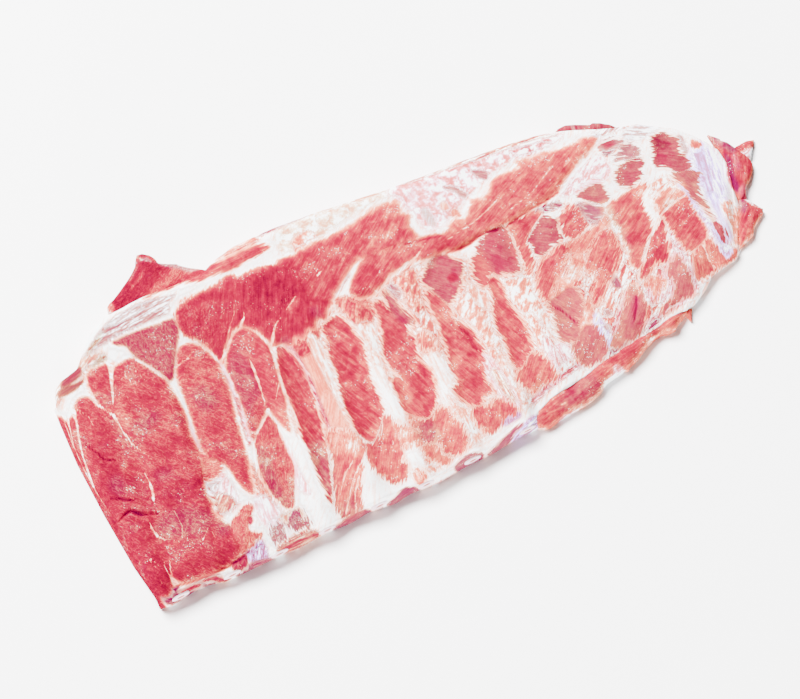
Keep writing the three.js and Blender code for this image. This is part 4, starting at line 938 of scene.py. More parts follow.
def coordinates(obj):
    """The mesh's vertices as an array, in metres."""
    flat = np.empty(len(obj.data.vertices) * 3)
    obj.data.vertices.foreach_get("co", flat)
    return flat.reshape(-1, 3)


def place_vertices(obj, x, y, z):
    """Puts the vertices at these plan points."""
    points = np.stack([x, y, z], 1) + ORIGIN
    obj.data.vertices.foreach_set("co", (points * MM).ravel())
    obj.data.update()


def add_attribute(obj, name, values):
    """Stores one number, or one triple, for each vertex."""
    kind, key = ("FLOAT", "value") if values.ndim == 1 else ("FLOAT_VECTOR", "vector")
    layer = obj.data.attributes.new(name, kind, "POINT")
    layer.data.foreach_set(key, values.ravel())


def store_fields(obj, fields):
    for name in PAINTED:
        add_attribute(obj, name, getattr(fields, name))


def start_piece():
    """Leaves nothing selected before a primitive is added."""
    if bpy.context.object and bpy.context.object.mode != "OBJECT":
        bpy.ops.object.mode_set(mode="OBJECT")
    bpy.ops.object.select_all(action="DESELECT")


def finish_piece(name, nodes, material):
    """Names the active object, smooths it and rides it on the rack."""
    obj = bpy.context.object
    obj.name = obj.data.name = name
    obj.data.materials.clear()
    obj.data.materials.append(material)
    bpy.ops.object.shade_smooth()
    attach(obj, BODY)
    if nodes:
        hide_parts(*nodes)


def face_out():
    """Recalculates the active mesh's normals to point outwards."""
    bpy.ops.object.mode_set(mode="EDIT")
    bpy.ops.mesh.select_all(action="SELECT")
    bpy.ops.mesh.normals_make_consistent(inside=False)
    bpy.ops.object.mode_set(mode="OBJECT")


# ---- material helpers ----

# A Mix node's data type, the places of its factor, A and B, and the place of its result.
MIX_NUMBERS = ("FLOAT", (0, 2, 3), 0)
MIX_COLORS = ("RGBA", (0, 6, 7), 2)


def linear(rgb255):
    """Linear colour of an sRGB tone given in 0 to 255."""
    c = np.asarray(rgb255, float) / 255
    return np.where(c <= 0.04045, c / 12.92, ((c + 0.055) / 1.055) ** 2.4)


def rgba(tone):
    return (*linear(tone), 1.0)


class Nodes:
    """Adds nodes to a tree in short lines."""

    def __init__(self, tree):
        self.tree = tree

    def add(self, kind, **settings):
        node = self.tree.nodes.new(kind)
        for key, value in settings.items():
            setattr(node, key, value)
        return node

    def plug(self, socket, value):
        """Links a socket to another's output, or sets its value."""
        if hasattr(value, "is_output"):
            self.tree.links.new(value, socket)
        else:
            socket.default_value = value

    def plug_all(self, node, values):
        for key, value in values.items():
            self.plug(node.inputs[key], value)
        return node

    def attribute(self, name, output="Fac"):
        return self.add("ShaderNodeAttribute", attribute_name=name).outputs[output]

    def math(self, operation, a, b=0.0):
        node = self.add("ShaderNodeMath", operation=operation)
        return self.plug_all(node, {0: a, 1: b}).outputs[0]

    def remap(self, value, low, high, to_low=0.0, to_high=1.0, smooth=True):
        node = self.add("ShaderNodeMapRange", interpolation_type="SMOOTHSTEP" if smooth else "LINEAR")
        self.plug_all(node, {"Value": value, "From Min": low, "From Max": high,
                             "To Min": to_low, "To Max": to_high})
        return node.outputs["Result"]

    def mix(self, kind, factor, a, b, **settings):
        """a where the factor is 0, b where it is 1; kind is MIX_NUMBERS or MIX_COLORS."""
        data_type, places, result = kind
        node = self.add("ShaderNodeMix", data_type=data_type, **settings)
        return self.plug_all(node, dict(zip(places, (factor, a, b)))).outputs[result]

    def total(self, first, *parts):
        """first plus each value times its share."""
        for value, share in parts:
            node = self.add("ShaderNodeMath", operation="MULTIPLY_ADD")
            first = self.plug_all(node, {0: value, 1: share, 2: first}).outputs[0]
        return first

    def shares(self, field, shares):
        """The named patterns of a field, each times its share, added up."""
        return self.total(0.0, *((field[label], share) for label, share in shares.items()))

    def scaled(self, vector, scale):
        node = self.add("ShaderNodeVectorMath", operation="MULTIPLY")
        return self.plug_all(node, {0: vector, 1: scale}).outputs[0]

    def noise(self, vector, scale, detail=2.0, rough=0.5, twist=0.0):
        """Noise between 0 and 1; scale holds how often it repeats along each axis."""
        node = self.add("ShaderNodeTexNoise")
        self.plug_all(node, {"Vector": self.scaled(vector, scale), "Scale": 1.0, "Detail": detail,
                             "Roughness": rough, "Distortion": twist})
        return node.outputs["Fac"]

    def group(self, tree, **inputs):
        """The outputs of a node group with these inputs."""
        return self.plug_all(self.add("ShaderNodeGroup", node_tree=tree), inputs).outputs

    def bump(self, height, strength, distance):
        node = self.add("ShaderNodeBump")
        values = {"Strength": strength, "Distance": distance, "Height": height}
        return self.plug_all(node, values).outputs["Normal"]

    def surface(self, values):
        """A Principled surface with these values, put out."""
        shader = self.plug_all(self.add("ShaderNodeBsdfPrincipled"), values)
        output = self.add("ShaderNodeOutputMaterial")
        self.plug(output.inputs["Surface"], shader.outputs["BSDF"])


def new_group(name, inputs, outputs):
    """A shader node group with sockets given as {label: kind}, with its in and out nodes."""
    tree = bpy.data.node_groups.new(name, "ShaderNodeTree")
    for in_out, sockets in (("INPUT", inputs), ("OUTPUT", outputs)):
        for label, kind in sockets.items():
            tree.interface.new_socket(label, in_out=in_out, socket_type=f"NodeSocket{kind}")
    nodes = Nodes(tree)
    return tree, nodes, nodes.add("NodeGroupInput").outputs, nodes.add("NodeGroupOutput").inputs


def new_material(name):
    """An empty material, and its nodes."""
    material = bpy.data.materials.new(name)
    material.use_nodes = True
    material.node_tree.nodes.clear()
    return material, Nodes(material.node_tree)


# ---- materials ----

# The noise patterns: the coordinates they follow, along the fibres or in metres, their scale along
# each axis, detail, roughness and twist.
PATTERNS = {
    "Streaks": ("Grain", (0.05, 0.34, 1.0), 3, 0.6, 0.0),
    "Threads": ("Grain", (0.085, 0.68, 1.0), 2, 0.6, 0.3),
    "Fine": ("Grain", (0.13, 1.7, 1.0), 1, 0.5, 0.0),
    "Clouds": ("Place", (75, 75, 75), 3, 0.6, 0.0),
    "Mottles": ("Place", (190, 190, 190), 3, 0.6, 0.8),
    "Grit": ("Place", (520, 520, 520), 2, 0.6, 0.6),
}
WRINKLES = ((0.18, 0.44, 1.0), 3, 0.62, 1.2)  # the same, along the fibres
# Size of the dots of painted highlight, the tiny wet glints.
GLINT_SCALE = (1500, 1500, 1500)
RIPPLE_SCALE = (300, 300, 300)
# Glints is painted highlight, not a pattern of the meat.
ALL_PATTERNS = (*PATTERNS, "Wrinkles", "Flecks")

# How much of each pattern goes into the lean's fibres and mottles, the fat, the ragged borders
# between them (mm) and the bumps.
FIBRE_SHARES = {"Streaks": 0.6, "Threads": 0.4, "Fine": 0.3}
MOTTLE_SHARES = {"Clouds": 0.55, "Mottles": 0.5, "Grit": 0.16}
FAT_SHARES = {"Streaks": 1.3, "Threads": 1.1, "Grit": 0.5}
RAGGED_SHARES = {"Streaks": 5.0, "Threads": 9.0, "Grit": 1.5}
BUMP_SHARES = {"Streaks": 0.4, "Threads": 0.4, "Fine": 0.2}

# The last share is painted highlight: tiny wet glints that lighten the lean.
WRINKLE_SHARE, RIM_SHARE, GLINT_SHARE = 0.24, 0.36, 0.5  # added to the lean's paleness
# Painted shade: how much darker the meat is painted in a cleft, where shade falls.
CLEFT_SHADE = -0.38  # taken from the paleness in a cleft
FRINGE_PALENESS = 0.96  # clean fat beside the lean
BORDER = 0.8  # half the width of the border between lean and fat, in mm
FILM = 0.55  # strength of the ashen film on the left end
WHITEST = (0.96, 0.96, 0.96, 1)

MARROW, SPONGE = (120, 14, 34), (196, 106, 84)  # base colours in sRGB
BONE_WALL, BONE_STAIN = (240, 232, 238), (222, 160, 176)
PORE_SCALE, WALL_SCALE = (1400, 1400, 1400), (500, 500, 500)


def fibre_group():
    """Muscle fibres and other patterns, from fibre coordinates and from plain ones."""
    tree, n, given, out = new_group(
        "muscle fibres", {"Grain": "Vector", "Place": "Vector"}, dict.fromkeys(ALL_PATTERNS, "Float"))
    for label, (source, *settings) in PATTERNS.items():
        n.plug(out[label], n.math("SUBTRACT", n.noise(given[source], *settings), 0.5))
    ridge = n.math("ABSOLUTE", n.math("SUBTRACT", n.noise(given["Grain"], *WRINKLES), 0.5))
    n.plug(out["Wrinkles"], n.remap(ridge, 0.0, 0.07, 0.6, -0.4))
    # Glints: painted highlights, scattered tiny bright dots that stand in for wet sparkle.
    dots = n.add("ShaderNodeTexVoronoi")
    n.plug_all(dots, {"Vector": n.scaled(given["Place"], GLINT_SCALE), "Scale": 1.0})
    chosen = n.remap(dots.outputs["Color"], 0.7, 0.74)
    n.plug(out["Flecks"], n.math("MULTIPLY", n.remap(dots.outputs["Distance"], 0.38, 0.2), chosen))
    return tree


def paleness_group():
    """Colour of raw meat from how pale it is: dark lean, lean, coral, peach, cream, white."""
    tree, n, given, out = new_group(
        "meat by paleness", {"Pale": "Float", "Hue": "Vector"}, {"Color": "Color"})
    ramp = n.add("ShaderNodeValToRGB")
    stops = ramp.color_ramp.elements
    for stop, (place, tone) in zip(stops, (PALENESS[0], PALENESS[-1])):
        stop.position = place
        stop.color = rgba(tone)
    for place, tone in PALENESS[1:-1]:
        stops.new(place).color = rgba(tone)
    n.plug(ramp.inputs["Fac"], given["Pale"])
    hue = n.mix(MIX_COLORS, n.remap(given["Pale"], 0.9, 1.02), given["Hue"], (1, 1, 1, 1))
    color = n.mix(MIX_COLORS, 1.0, ramp.outputs["Color"], hue, blend_type="MULTIPLY")
    n.plug(out["Color"], n.mix(MIX_COLORS, 1.0, color, WHITEST, blend_type="DARKEN"))
    return tree


def lean_group():
    """Paleness of lean meat: fibres, clouds, pale wrinkles, painted highlights as tiny wet glints and a
    paler rim.
    """
    tree, n, field, out = new_group(
        "lean meat", dict.fromkeys(("Pale", *ALL_PATTERNS, "Web", "Vivid", "Inside", "Rim"), "Float"),
        {"Pale": "Float"})
    fibres = n.math("MULTIPLY", n.shares(field, FIBRE_SHARES),
                    n.remap(field["Web"], 0, 1, 1.0, 0.45, smooth=False))
    rim = n.remap(n.math("DIVIDE", field["Inside"], field["Rim"]), 0.0, 1.0, 1.0, 0.0, smooth=False)
    pattern = n.math("ADD", fibres, n.shares(field, MOTTLE_SHARES))
    lighter = n.remap(field["Pale"], 0.3, 0.75, 0.045, -0.01, smooth=False)
    # Painted highlight: the wet glints, only where the clouds are light.
    painted_glints = n.math("MULTIPLY", field["Flecks"], n.remap(field["Clouds"], 0.0, 0.12))
    n.plug(out["Pale"], n.total(
        field["Pale"], (lighter, 1.0), (n.math("MULTIPLY", pattern, field["Vivid"]), 1.0),
        (n.math("MULTIPLY", field["Wrinkles"], field["Web"]), WRINKLE_SHARE),
        (n.math("MULTIPLY", rim, rim), RIM_SHARE), (painted_glints, GLINT_SHARE)))
    return tree


def fat_group():
    """Paleness of fat and membrane: clean white where it is pale, streaked where it is stained."""
    tree, n, field, out = new_group(
        "fat and membrane", dict.fromkeys(("Pale", *FAT_SHARES, "Vivid", "Inside"), "Float"),
        {"Pale": "Float"})
    pattern = n.remap(n.shares(field, FAT_SHARES), -0.34, 0.34, -0.26, 0.31)
    strength = n.remap(field["Pale"], 1.0, 0.8, 0.12, 1.0, smooth=False)
    strength = n.math("MULTIPLY", strength, field["Vivid"])
    pale = n.math("ADD", field["Pale"], n.math("MULTIPLY", pattern, strength))
    fringe = n.math("MULTIPLY", n.remap(field["Inside"], -2.6, -0.9), 0.65)
    pale = n.mix(MIX_NUMBERS, fringe, pale, n.math("MAXIMUM", pale, FRINGE_PALENESS))
    n.plug(out["Pale"], n.total(pale, (n.remap(field["Inside"], -0.9, 0.0), -0.1)))
    return tree


def meat_material(name, groups):
    """Raw meat: lean and fat laid out by the mesh's fields, with painted wet glints, painted shade in its
    clefts and faint bumps.
    """
    material, n = new_material(name)
    place = n.add("ShaderNodeTexCoord").outputs["Object"]
    fibres = n.group(groups["fibres"], Grain=n.attribute("grain", "Vector"), Place=place)
    ragged = n.math("MULTIPLY", n.shares(fibres, RAGGED_SHARES), n.attribute("feather"))
    inside = n.math("ADD", n.attribute("lean"), ragged)
    mask = n.remap(inside, -BORDER, BORDER)
    web, vivid = n.attribute("web"), n.attribute("vivid")
    lean = n.group(groups["lean"], Pale=n.attribute("pale"), Web=web, Vivid=vivid, Inside=inside,
                   Rim=n.attribute("rim"), **{label: fibres[label] for label in ALL_PATTERNS})
    fat = n.group(groups["fat"], Pale=n.attribute("ground"), Vivid=vivid, Inside=inside,
                  **{label: fibres[label] for label in FAT_SHARES})
    pale = n.mix(MIX_NUMBERS, mask, fat["Pale"], lean["Pale"])
    # Painted shade: the clefts are painted darker.
    pale = n.total(pale, (n.attribute("dark"), CLEFT_SHADE))
    film = n.math("MULTIPLY", n.remap(fibres["Clouds"], 0.0, 0.14), n.math("MULTIPLY", web, FILM))
    lean_hue = n.mix(MIX_COLORS, film, n.attribute("hue", "Vector"), (*HUES["ashen"], 1))
    hue = n.mix(MIX_COLORS, mask, n.attribute("ground_hue", "Vector"), lean_hue)
    height = n.math("MULTIPLY", n.shares(fibres, BUMP_SHARES), n.remap(mask, 0, 1, 0.3, 1.0))
    height = n.total(height, (n.noise(place, RIPPLE_SCALE, detail=3), 0.5),
                     (n.math("MULTIPLY", fibres["Wrinkles"], web), 0.4))
    n.surface({
        "Base Color": n.group(groups["paleness"], Pale=pale, Hue=hue)["Color"],
        "Roughness": n.remap(mask, 0, 1, 0.5, 0.4),
        "Normal": n.bump(height, strength=0.7, distance=0.0006),
        "Specular IOR Level": 0.0,
        "Subsurface Weight": 0.1,
        "Subsurface Radius": (1.0, 0.35, 0.25),
        "Subsurface Scale": 0.002,
    })
    return material


def bone_material(name):
    """Sawn rib bone: a pale hard wall round red spongy marrow."""
    material, n = new_material(name)
    place = n.add("ShaderNodeTexCoord").outputs["Object"]
    pores = n.noise(place, PORE_SCALE)
    marrow = n.mix(MIX_COLORS, n.remap(pores, 0.42, 0.6), rgba(MARROW), rgba(SPONGE))
    wall = n.mix(MIX_COLORS, n.noise(place, WALL_SCALE), rgba(BONE_WALL), rgba(BONE_STAIN))
    n.surface({
        "Base Color": n.mix(MIX_COLORS, n.remap(n.attribute("marrow"), 0.35, 0.65), wall, marrow),
        "Normal": n.bump(pores, strength=0.4, distance=0.0005),
        "Roughness": 0.45,
    })
    return material


def materials():
    """The rack's materials, made once."""
    if "raw_meat" not in bpy.data.materials:
        meat_material("raw_meat", {"fibres": fibre_group(), "lean": lean_group(), "fat": fat_group(),
                                   "paleness": paleness_group()})
        bone_material("sawn_bone")
    return bpy.data.materials


# ---- settings ----


class RackSizes(bpy.types.PropertyGroup):
    """Sizes that a user would change."""
    columns: bpy.props.IntProperty(
        name="Columns", description="Steps along the sheet's length", default=460, min=60, max=480)
    rows: bpy.props.IntProperty(
        name="Rows", description="Steps across the sheet", default=190, min=40, max=200)
    sawn_side: bpy.props.FloatProperty(
        name="Sawn side", description="Share of the rows that lie on the sawn face",
        subtype="FACTOR", default=0.05, min=0.01, max=0.2)
    roll: bpy.props.FloatProperty(
        name="Rolled edge", description="Radius of the rolled fat edge",
        subtype="DISTANCE", default=0.011)
    waves: bpy.props.FloatProperty(
        name="Waves", description="Height of the surface's slow waves",
        subtype="DISTANCE", default=0.0007)


class RackStage(bpy.types.PropertyGroup):
    """The stage's settings."""
    floor_color: bpy.props.FloatVectorProperty(
        name="Floor", description="Colour of the floor",
        subtype="COLOR", size=3, default=(0.97, 0.97, 0.97))
    key_power: bpy.props.FloatProperty(
        name="Key light", description="Power of the key light", unit="POWER", default=1410.0)
    fill_power: bpy.props.FloatProperty(
        name="Fill light", description="Power of the low fill light", unit="POWER", default=250.0)
    sky: bpy.props.FloatProperty(
        name="Sky", description="Strength of the even light from all round", default=0.12)
    lens: bpy.props.FloatProperty(
        name="Lens", description="The camera's focal length", unit="CAMERA", default=104.0)
    distance: bpy.props.FloatProperty(
        name="Distance", description="Camera to rack", subtype="DISTANCE", default=1.5)
    azimuth: bpy.props.FloatProperty(
        name="Azimuth", description="Camera's angle round the rack",
        subtype="ANGLE", default=math.radians(-28.3))
    elevation: bpy.props.FloatProperty(
        name="Elevation", description="Camera's angle above the floor",
        subtype="ANGLE", default=math.radians(68.0))


# ---- the meat sheet ----

CUT_SHARE = 0.03  # share of the columns on the left cut
CUT_ROUND = 7  # mm over which its brow is rounded
CUT_FOOT, CUT_BROW = 0.1, 0.74  # its height at the foot and the brow, as shares
ROLL_SHARE = 0.08  # share of the rows on the rolled fat edge
ROLL_TURN = 118  # degrees that it turns through
ROLL_FALL = 0.86  # the share of a half turn of cosine by which its height falls
ROLL_WIDEST = 0.35  # its radius is this share of the sheet's width at most
SAWN_FOOT, SAWN_CURVE = 0.12, 0.8  # height where the sawn face starts, and its bulge
LIP = 1.5  # mm in from the sawn edge where the top's height is first read
SIDE_HEIGHT = 12  # mm up, from where the relief is at full strength
BACK_BROW = 0.68  # share of the fat edge's height where its back starts
BACK_PALENESS = 0.9
BACK_FADE = 6  # mm down over which the drawing fades out there
BACK_FROM = (-190, -170)  # x where that starts
BACK_MARGIN = 1.4  # mm in from the fat edge where the back may start
BACK_BARE = 6  # mm by which the lean draws back from it
UNDERSIDE = (0.995, 0.99, 0.0)  # the underside's size against the border above it


def sheet_points(u, v, sizes):
    """Points of the meat sheet for u along and v across it, both from 0 to 1."""
    x_top = LEFT + (RIGHT - LEFT) * np.clip((u - CUT_SHARE) / (1 - CUT_SHARE), 0, 1)
    sawn, base, fat = (along(edge, x_top) for edge in (SHEET_EDGE, SHEET_BASE, FAT_EDGE))
    roll = np.minimum(sizes.roll / MM, (fat - sawn) * ROLL_WIDEST)
    # across the sheet: up the sawn face, over the top, down the rolled fat edge
    side = sizes.sawn_side
    up = np.clip(v / side, 0, 1)
    over = np.clip((v - side) / (1 - side - ROLL_SHARE), 0, 1)
    down = np.clip((v - 1 + ROLL_SHARE) / ROLL_SHARE, 0, 1)
    y = np.where(down > 0, fat - roll + roll * np.sin(down * math.radians(ROLL_TURN)),
                 lerp(sawn, fat - roll, over))
    top = sheet_height(x_top, np.clip(y, sawn + LIP, fat - roll))
    rise = SAWN_FOOT + (1 - SAWN_FOOT) * up ** SAWN_CURVE
    fall = np.where(down > 0, 0.5 + 0.5 * np.cos(down * math.pi * ROLL_FALL), 1.0)
    # the left cut
    climb = np.clip(u / CUT_SHARE, 0, 1)
    inset = np.sqrt(1 - (1 - np.clip((x_top - LEFT) / CUT_ROUND, 0, 1)) ** 2)
    z = top * rise * fall * (CUT_FOOT + (CUT_BROW - CUT_FOOT) * climb + (1 - CUT_BROW) * inset)
    y = y + (1 - up) * (base - sawn)
    return x_top - (1 - climb) * along(LEFT_FLARE, y), y, z


class RACK_OT_meat_sheet(bpy.types.Operator):
    """Models the meat sheet: muscles, fat and membrane over the ribs"""
    bl_idname = "rack.meat_sheet"
    bl_label = "Meat sheet"

    def execute(self, context):
        sizes = context.scene.rack_sizes
        start_piece()
        bpy.ops.mesh.primitive_grid_add(x_subdivisions=sizes.columns, y_subdivisions=sizes.rows, size=1)
        obj = context.object
        u, v, _ = coordinates(obj).T + 0.5
        x, y, z = sheet_points(u, v, sizes)
        fields = Fields(*drawn(x, y, z))
        self.paint_back(fields, x, y, z)
        waves = sizes.waves / MM * (soft_noise(x, y, 17, 1) + 0.5 * soft_noise(x, y, 7, 2))
        fine = soft_noise(x, y * 0.4, 3.2, 3) * 0.22 + soft_noise(x, y, 1.9, 4) * 0.12
        z = z + np.clip(z / SIDE_HEIGHT, 0, 1) * (fields.relief + waves + fine)
        place_vertices(obj, x, y, z)
        store_fields(obj, fields)
        self.close_underside()
        finish_piece("meat_sheet", ["rib_meat"], materials()["raw_meat"])
        return {"FINISHED"}

    def paint_back(self, fields, x, y, z):
        """Lets the fat edge run on below its brow, where the drawing would only mirror itself."""
        below = np.clip(BACK_BROW * along(FAT_HEIGHT, x) - z, 0, None)
        below = below * (y > along(FAT_EDGE, x) - BACK_MARGIN)
        fields.grain[:, 2] += SIDE_GRAIN * below
        fade = smoothstep(below, 0, BACK_FADE) * smoothstep(x, *BACK_FROM)
        fields.lean -= BACK_BARE * fade
        fields.toward(fade, ground=BACK_PALENESS, ground_hue=HUES["pink"])

    def close_underside(self):
        """Carries the sheet's border down to the floor and closes it underneath."""
        bpy.ops.object.mode_set(mode="EDIT")
        bpy.ops.mesh.select_mode(type="EDGE")
        bpy.ops.mesh.select_all(action="DESELECT")
        bpy.ops.mesh.select_non_manifold()
        bpy.ops.mesh.extrude_edges_move()
        bpy.ops.transform.resize(value=UNDERSIDE, center_override=(0, 0, 0))
        bpy.ops.mesh.edge_face_add()
        face_out()


# ---- the loose flaps ----

# A loose flap: paleness, hue, the way its fibres run, height (mm), the softly edged changes on it,
# and its outer and inner edges in plan, which run from one tip to the other.
Flap = namedtuple("Flap", "name pale hue fibre height tints outer inner")

FLAPS = [
    Flap("top_flap", 0.26, "plain", 27, 8, tints=[
        (0.6, 4, [(-128, 119), (-110, 126), (-97, 127), (-84, 119), (-92, 108), (-128, 108)]),
        (0.36, 2, [(-112, 117), (-96, 118.5), (-78, 117), (-78, 108), (-112, 110)]),
        (0.74, 1.5, [(-111, 138), (-99, 131), (-88, 119), (-94, 119), (-101, 126), (-108, 132)], "mauve"),
        (0.5, 1.2, [(-121, 145), (-119, 150), (-110, 146), (-110, 137), (-114, 141), (-118, 143)]),
        (0.76, 0.8, [(-120, 143.5), (-115, 144), (-113, 138), (-117, 141)], "mauve"),
        (0.22, 0.8, [(-118, 148), (-115, 147.5), (-114.5, 145), (-118, 146)]),
        (0.74, 1.5, [(-156, 125), (-151, 126), (-149, 122), (-152, 117), (-156, 118)]),
        (0.16, 3, [(-146, 122), (-134, 122), (-136, 119), (-146, 119)]),
        (0.6, 0.6, [(-132, 134), (-124, 140), (-123, 139), (-131, 133)], "dusky"),
        (0.58, 0.7, [(-133, 128.5), (-123, 133.5), (-122, 132), (-132, 127)]),
    ], outer=[
        (-154.5, 121), (-153.5, 124), (-151, 125.5), (-147, 127), (-140, 131.3), (-133, 135.5),
        (-128, 139), (-124, 142.5), (-121.5, 147), (-119.5, 149.5), (-116, 149), (-112, 145.5),
        (-110, 141.5), (-109.5, 137.5), (-104, 133.7), (-99, 131), (-97, 128), (-92, 123.5), (-87, 119.5),
        (-78, 113)
    ], inner=[
        (-154.5, 121), (-152, 112), (-140, 106), (-115, 104), (-95, 106), (-78, 113)]),
    Flap("back_strip", 0.5, "ashen", 60, 13, tints=[
        (0.74, 0.5, [(181.5, 95), (183.5, 94), (182.5, 87), (180.5, 88)], "mauve"),
        (0.6, 0.5, [(185.5, 93), (186.5, 92), (185.5, 86), (184.5, 87)], "ashen"),
    ], outer=[
        (171.5, 96), (174, 97), (179, 96.3), (185, 93.4), (189, 91.3), (194, 88.4), (196, 88.6),
        (200, 86.4), (203, 84.4), (207, 81.8), (211, 79)
    ], inner=[
        (171.5, 96), (177, 88), (187, 83), (197, 78), (205, 75), (211, 79)]),
    Flap("end_flap", 0.47, "plain", 62, 9, tints=[
        (0.55, 2.5, [(262, 44), (268, 40), (272, 32), (274, 26), (268, 24), (264, 34)], "mauve"),
        (0.36, 1.5, [(256, -2), (256, 8), (260, 16), (264, 26), (265, 20), (261, 8), (259, -2)], "plum"),
        (0.58, 1.2, [(266, 21), (270, 22), (268, 12), (264, 11)], "pink"),
        (0.52, 2, [(276, 22), (280, 16), (276, 6), (266, -2), (262, -8), (268, 3), (275, 12)]),
        (0.62, 1.5, [(258, -2), (264, 0), (266, -4), (261, -12), (257, -8)], "pink"),
    ], outer=[
        (263, 46), (266, 42), (268.3, 38.5), (268.5, 36.5), (271, 33), (273.5, 28.5), (276, 23.5),
        (278.2, 19), (278.8, 15), (278.2, 11.5), (276, 8), (273, 4.8), (270, 2.2), (267, 0.5),
        (264, -2.5), (262, -6), (260.5, -11)
    ], inner=[
        (263, 46), (263, 38), (261.5, 28), (258.5, 18), (255, 8), (254, 0), (255.5, -8), (260.5, -11)]),
    Flap("end_tip", 0.45, "plain", 10, 7, tints=[
        (0.86, 1.2, [(276, 22.5), (286, 22), (284, 14), (272, 12), (272, 21)], "pink"),
        (0.8, 1.2, [(285, 30), (291, 30), (290, 25), (286, 27)]),
    ], outer=[
        (272, 28.5), (278, 29), (283, 29.3), (289.5, 27.8)
    ], inner=[
        (272, 28.5), (270, 20), (277, 14.5), (280, 16.5), (283, 20.5), (287, 24.5), (289.5, 27.8)]),
    Flap("end_lobe", 0.48, "plain", 40, 9, tints=[
        (0.62, 2, [(240, -32), (252, -29), (262, -24), (267, -20), (264, -27), (250, -35), (236, -40)]),
        (0.92, 0.8, [
            (258.5, -8), (262, -11.5), (267, -19.5), (265.5, -20.5), (261, -17), (258, -12)], "pink"),
        (0.55, 0.5, [(262, -15), (264, -16.5), (263.5, -18), (261.5, -16.5)], "pink"),
        (0.5, 1.5, [(252, -8), (257, -8), (257, -15), (252, -18)], "mauve"),
    ], outer=[
        (256.5, -3), (258.5, -8), (261.5, -11.5), (264.5, -16.5), (266.8, -20.5), (265.5, -22.8),
        (262, -24.8), (258, -27), (255, -29), (253, -31.3), (251, -33.5), (247, -34.8), (243, -36),
        (239, -37.5), (236, -39.5)
    ], inner=[
        (256.5, -3), (254, -10), (248, -19), (242, -28), (239, -34), (236, -39.5)]),
    Flap("low_strip", 0.60, "plain", 10, 13, tints=[
        (0.56, 4, [(56, -82), (62, -76), (76, -78), (76, -88), (58, -88)]),
        (0.56, 5, [(74, -80), (86, -72), (104, -72), (105, -82), (92, -86), (76, -84)], "dusky"),
        (0.48, 2.5, [(94, -80), (100, -78), (106, -79), (104, -82), (97, -83)], "dusky"),
        (0.62, 3, [(103, -68), (117, -64), (118, -76), (110, -80), (106, -76)]),
        (0.50, 2.5, [(118, -64), (130, -64), (140, -66), (138, -72), (128, -78), (124, -73), (118, -72)]),
        (0.84, 1, [(118, -74), (121, -73), (125, -77), (122, -79), (116, -78.5)], "pink"),
        (0.6, 3, [(140, -62), (152, -60), (153, -68), (140, -72)]),
        (0.50, 1.5, [(153, -60), (165, -60), (166, -65), (153, -66)]),
        (0.62, 2.5, [(166, -58), (182, -58), (180, -64), (166, -69)]),
        (0.9, 0.5, [(75, -80), (79, -80), (79, -81), (75, -81)]),
        (0.92, 0.6, [(70, -88), (84, -87), (84, -86.2), (72, -86.6)], "lilac"),
        (0.94, 0.6, [(108, -81.5), (118, -79), (116, -77.8), (110, -79)], "lilac"),
    ], outer=[
        (55, -80), (56, -85), (60, -87.5), (64, -88), (72, -86.5), (80, -86), (90, -86), (97, -85),
        (104, -83), (109, -80), (112, -78.7), (118, -78), (122, -77.5), (126, -76.7), (128, -78),
        (131, -76), (138, -74), (142, -72), (148, -69), (155, -67), (160, -66.5), (164, -68), (170, -68),
        (173, -65.5), (178, -63.5), (181, -62), (185, -59.5)
    ], inner=[
        (55, -80), (60, -73), (70, -69.5), (85, -65.5), (100, -65), (115, -62.5), (130, -62.5),
        (150, -60.5), (165, -60), (178, -58.5), (185, -59.5)]),
    Flap("low_tip", 0.60, "plain", 100, 6, tints=[], outer=[
        (181, -60), (181.8, -64), (182.3, -67.5), (184, -65), (186, -62), (187.5, -60)
    ], inner=[
        (181, -60), (184, -57), (187.5, -60)]),
]

FLAP_REACH = 4  # mm: how deep in lean a flap is painted, and the reach of its border
FLAP_RIM, FLAP_RIM_WIDTH = 0.22, (0.2, 2.2)  # how much paler its border is, and how far in (mm)
FLAP_FEATHER = 0.4
FLAP_BROW = 0.6  # share of its height where its side starts
FLAP_CURVE = 0.55  # how fast it rises from its border: 1 is straight, 0 upright
FLAP_WIDE, FLAP_THIN = 9, 0.35  # narrower than this (mm) it thins, down to this share


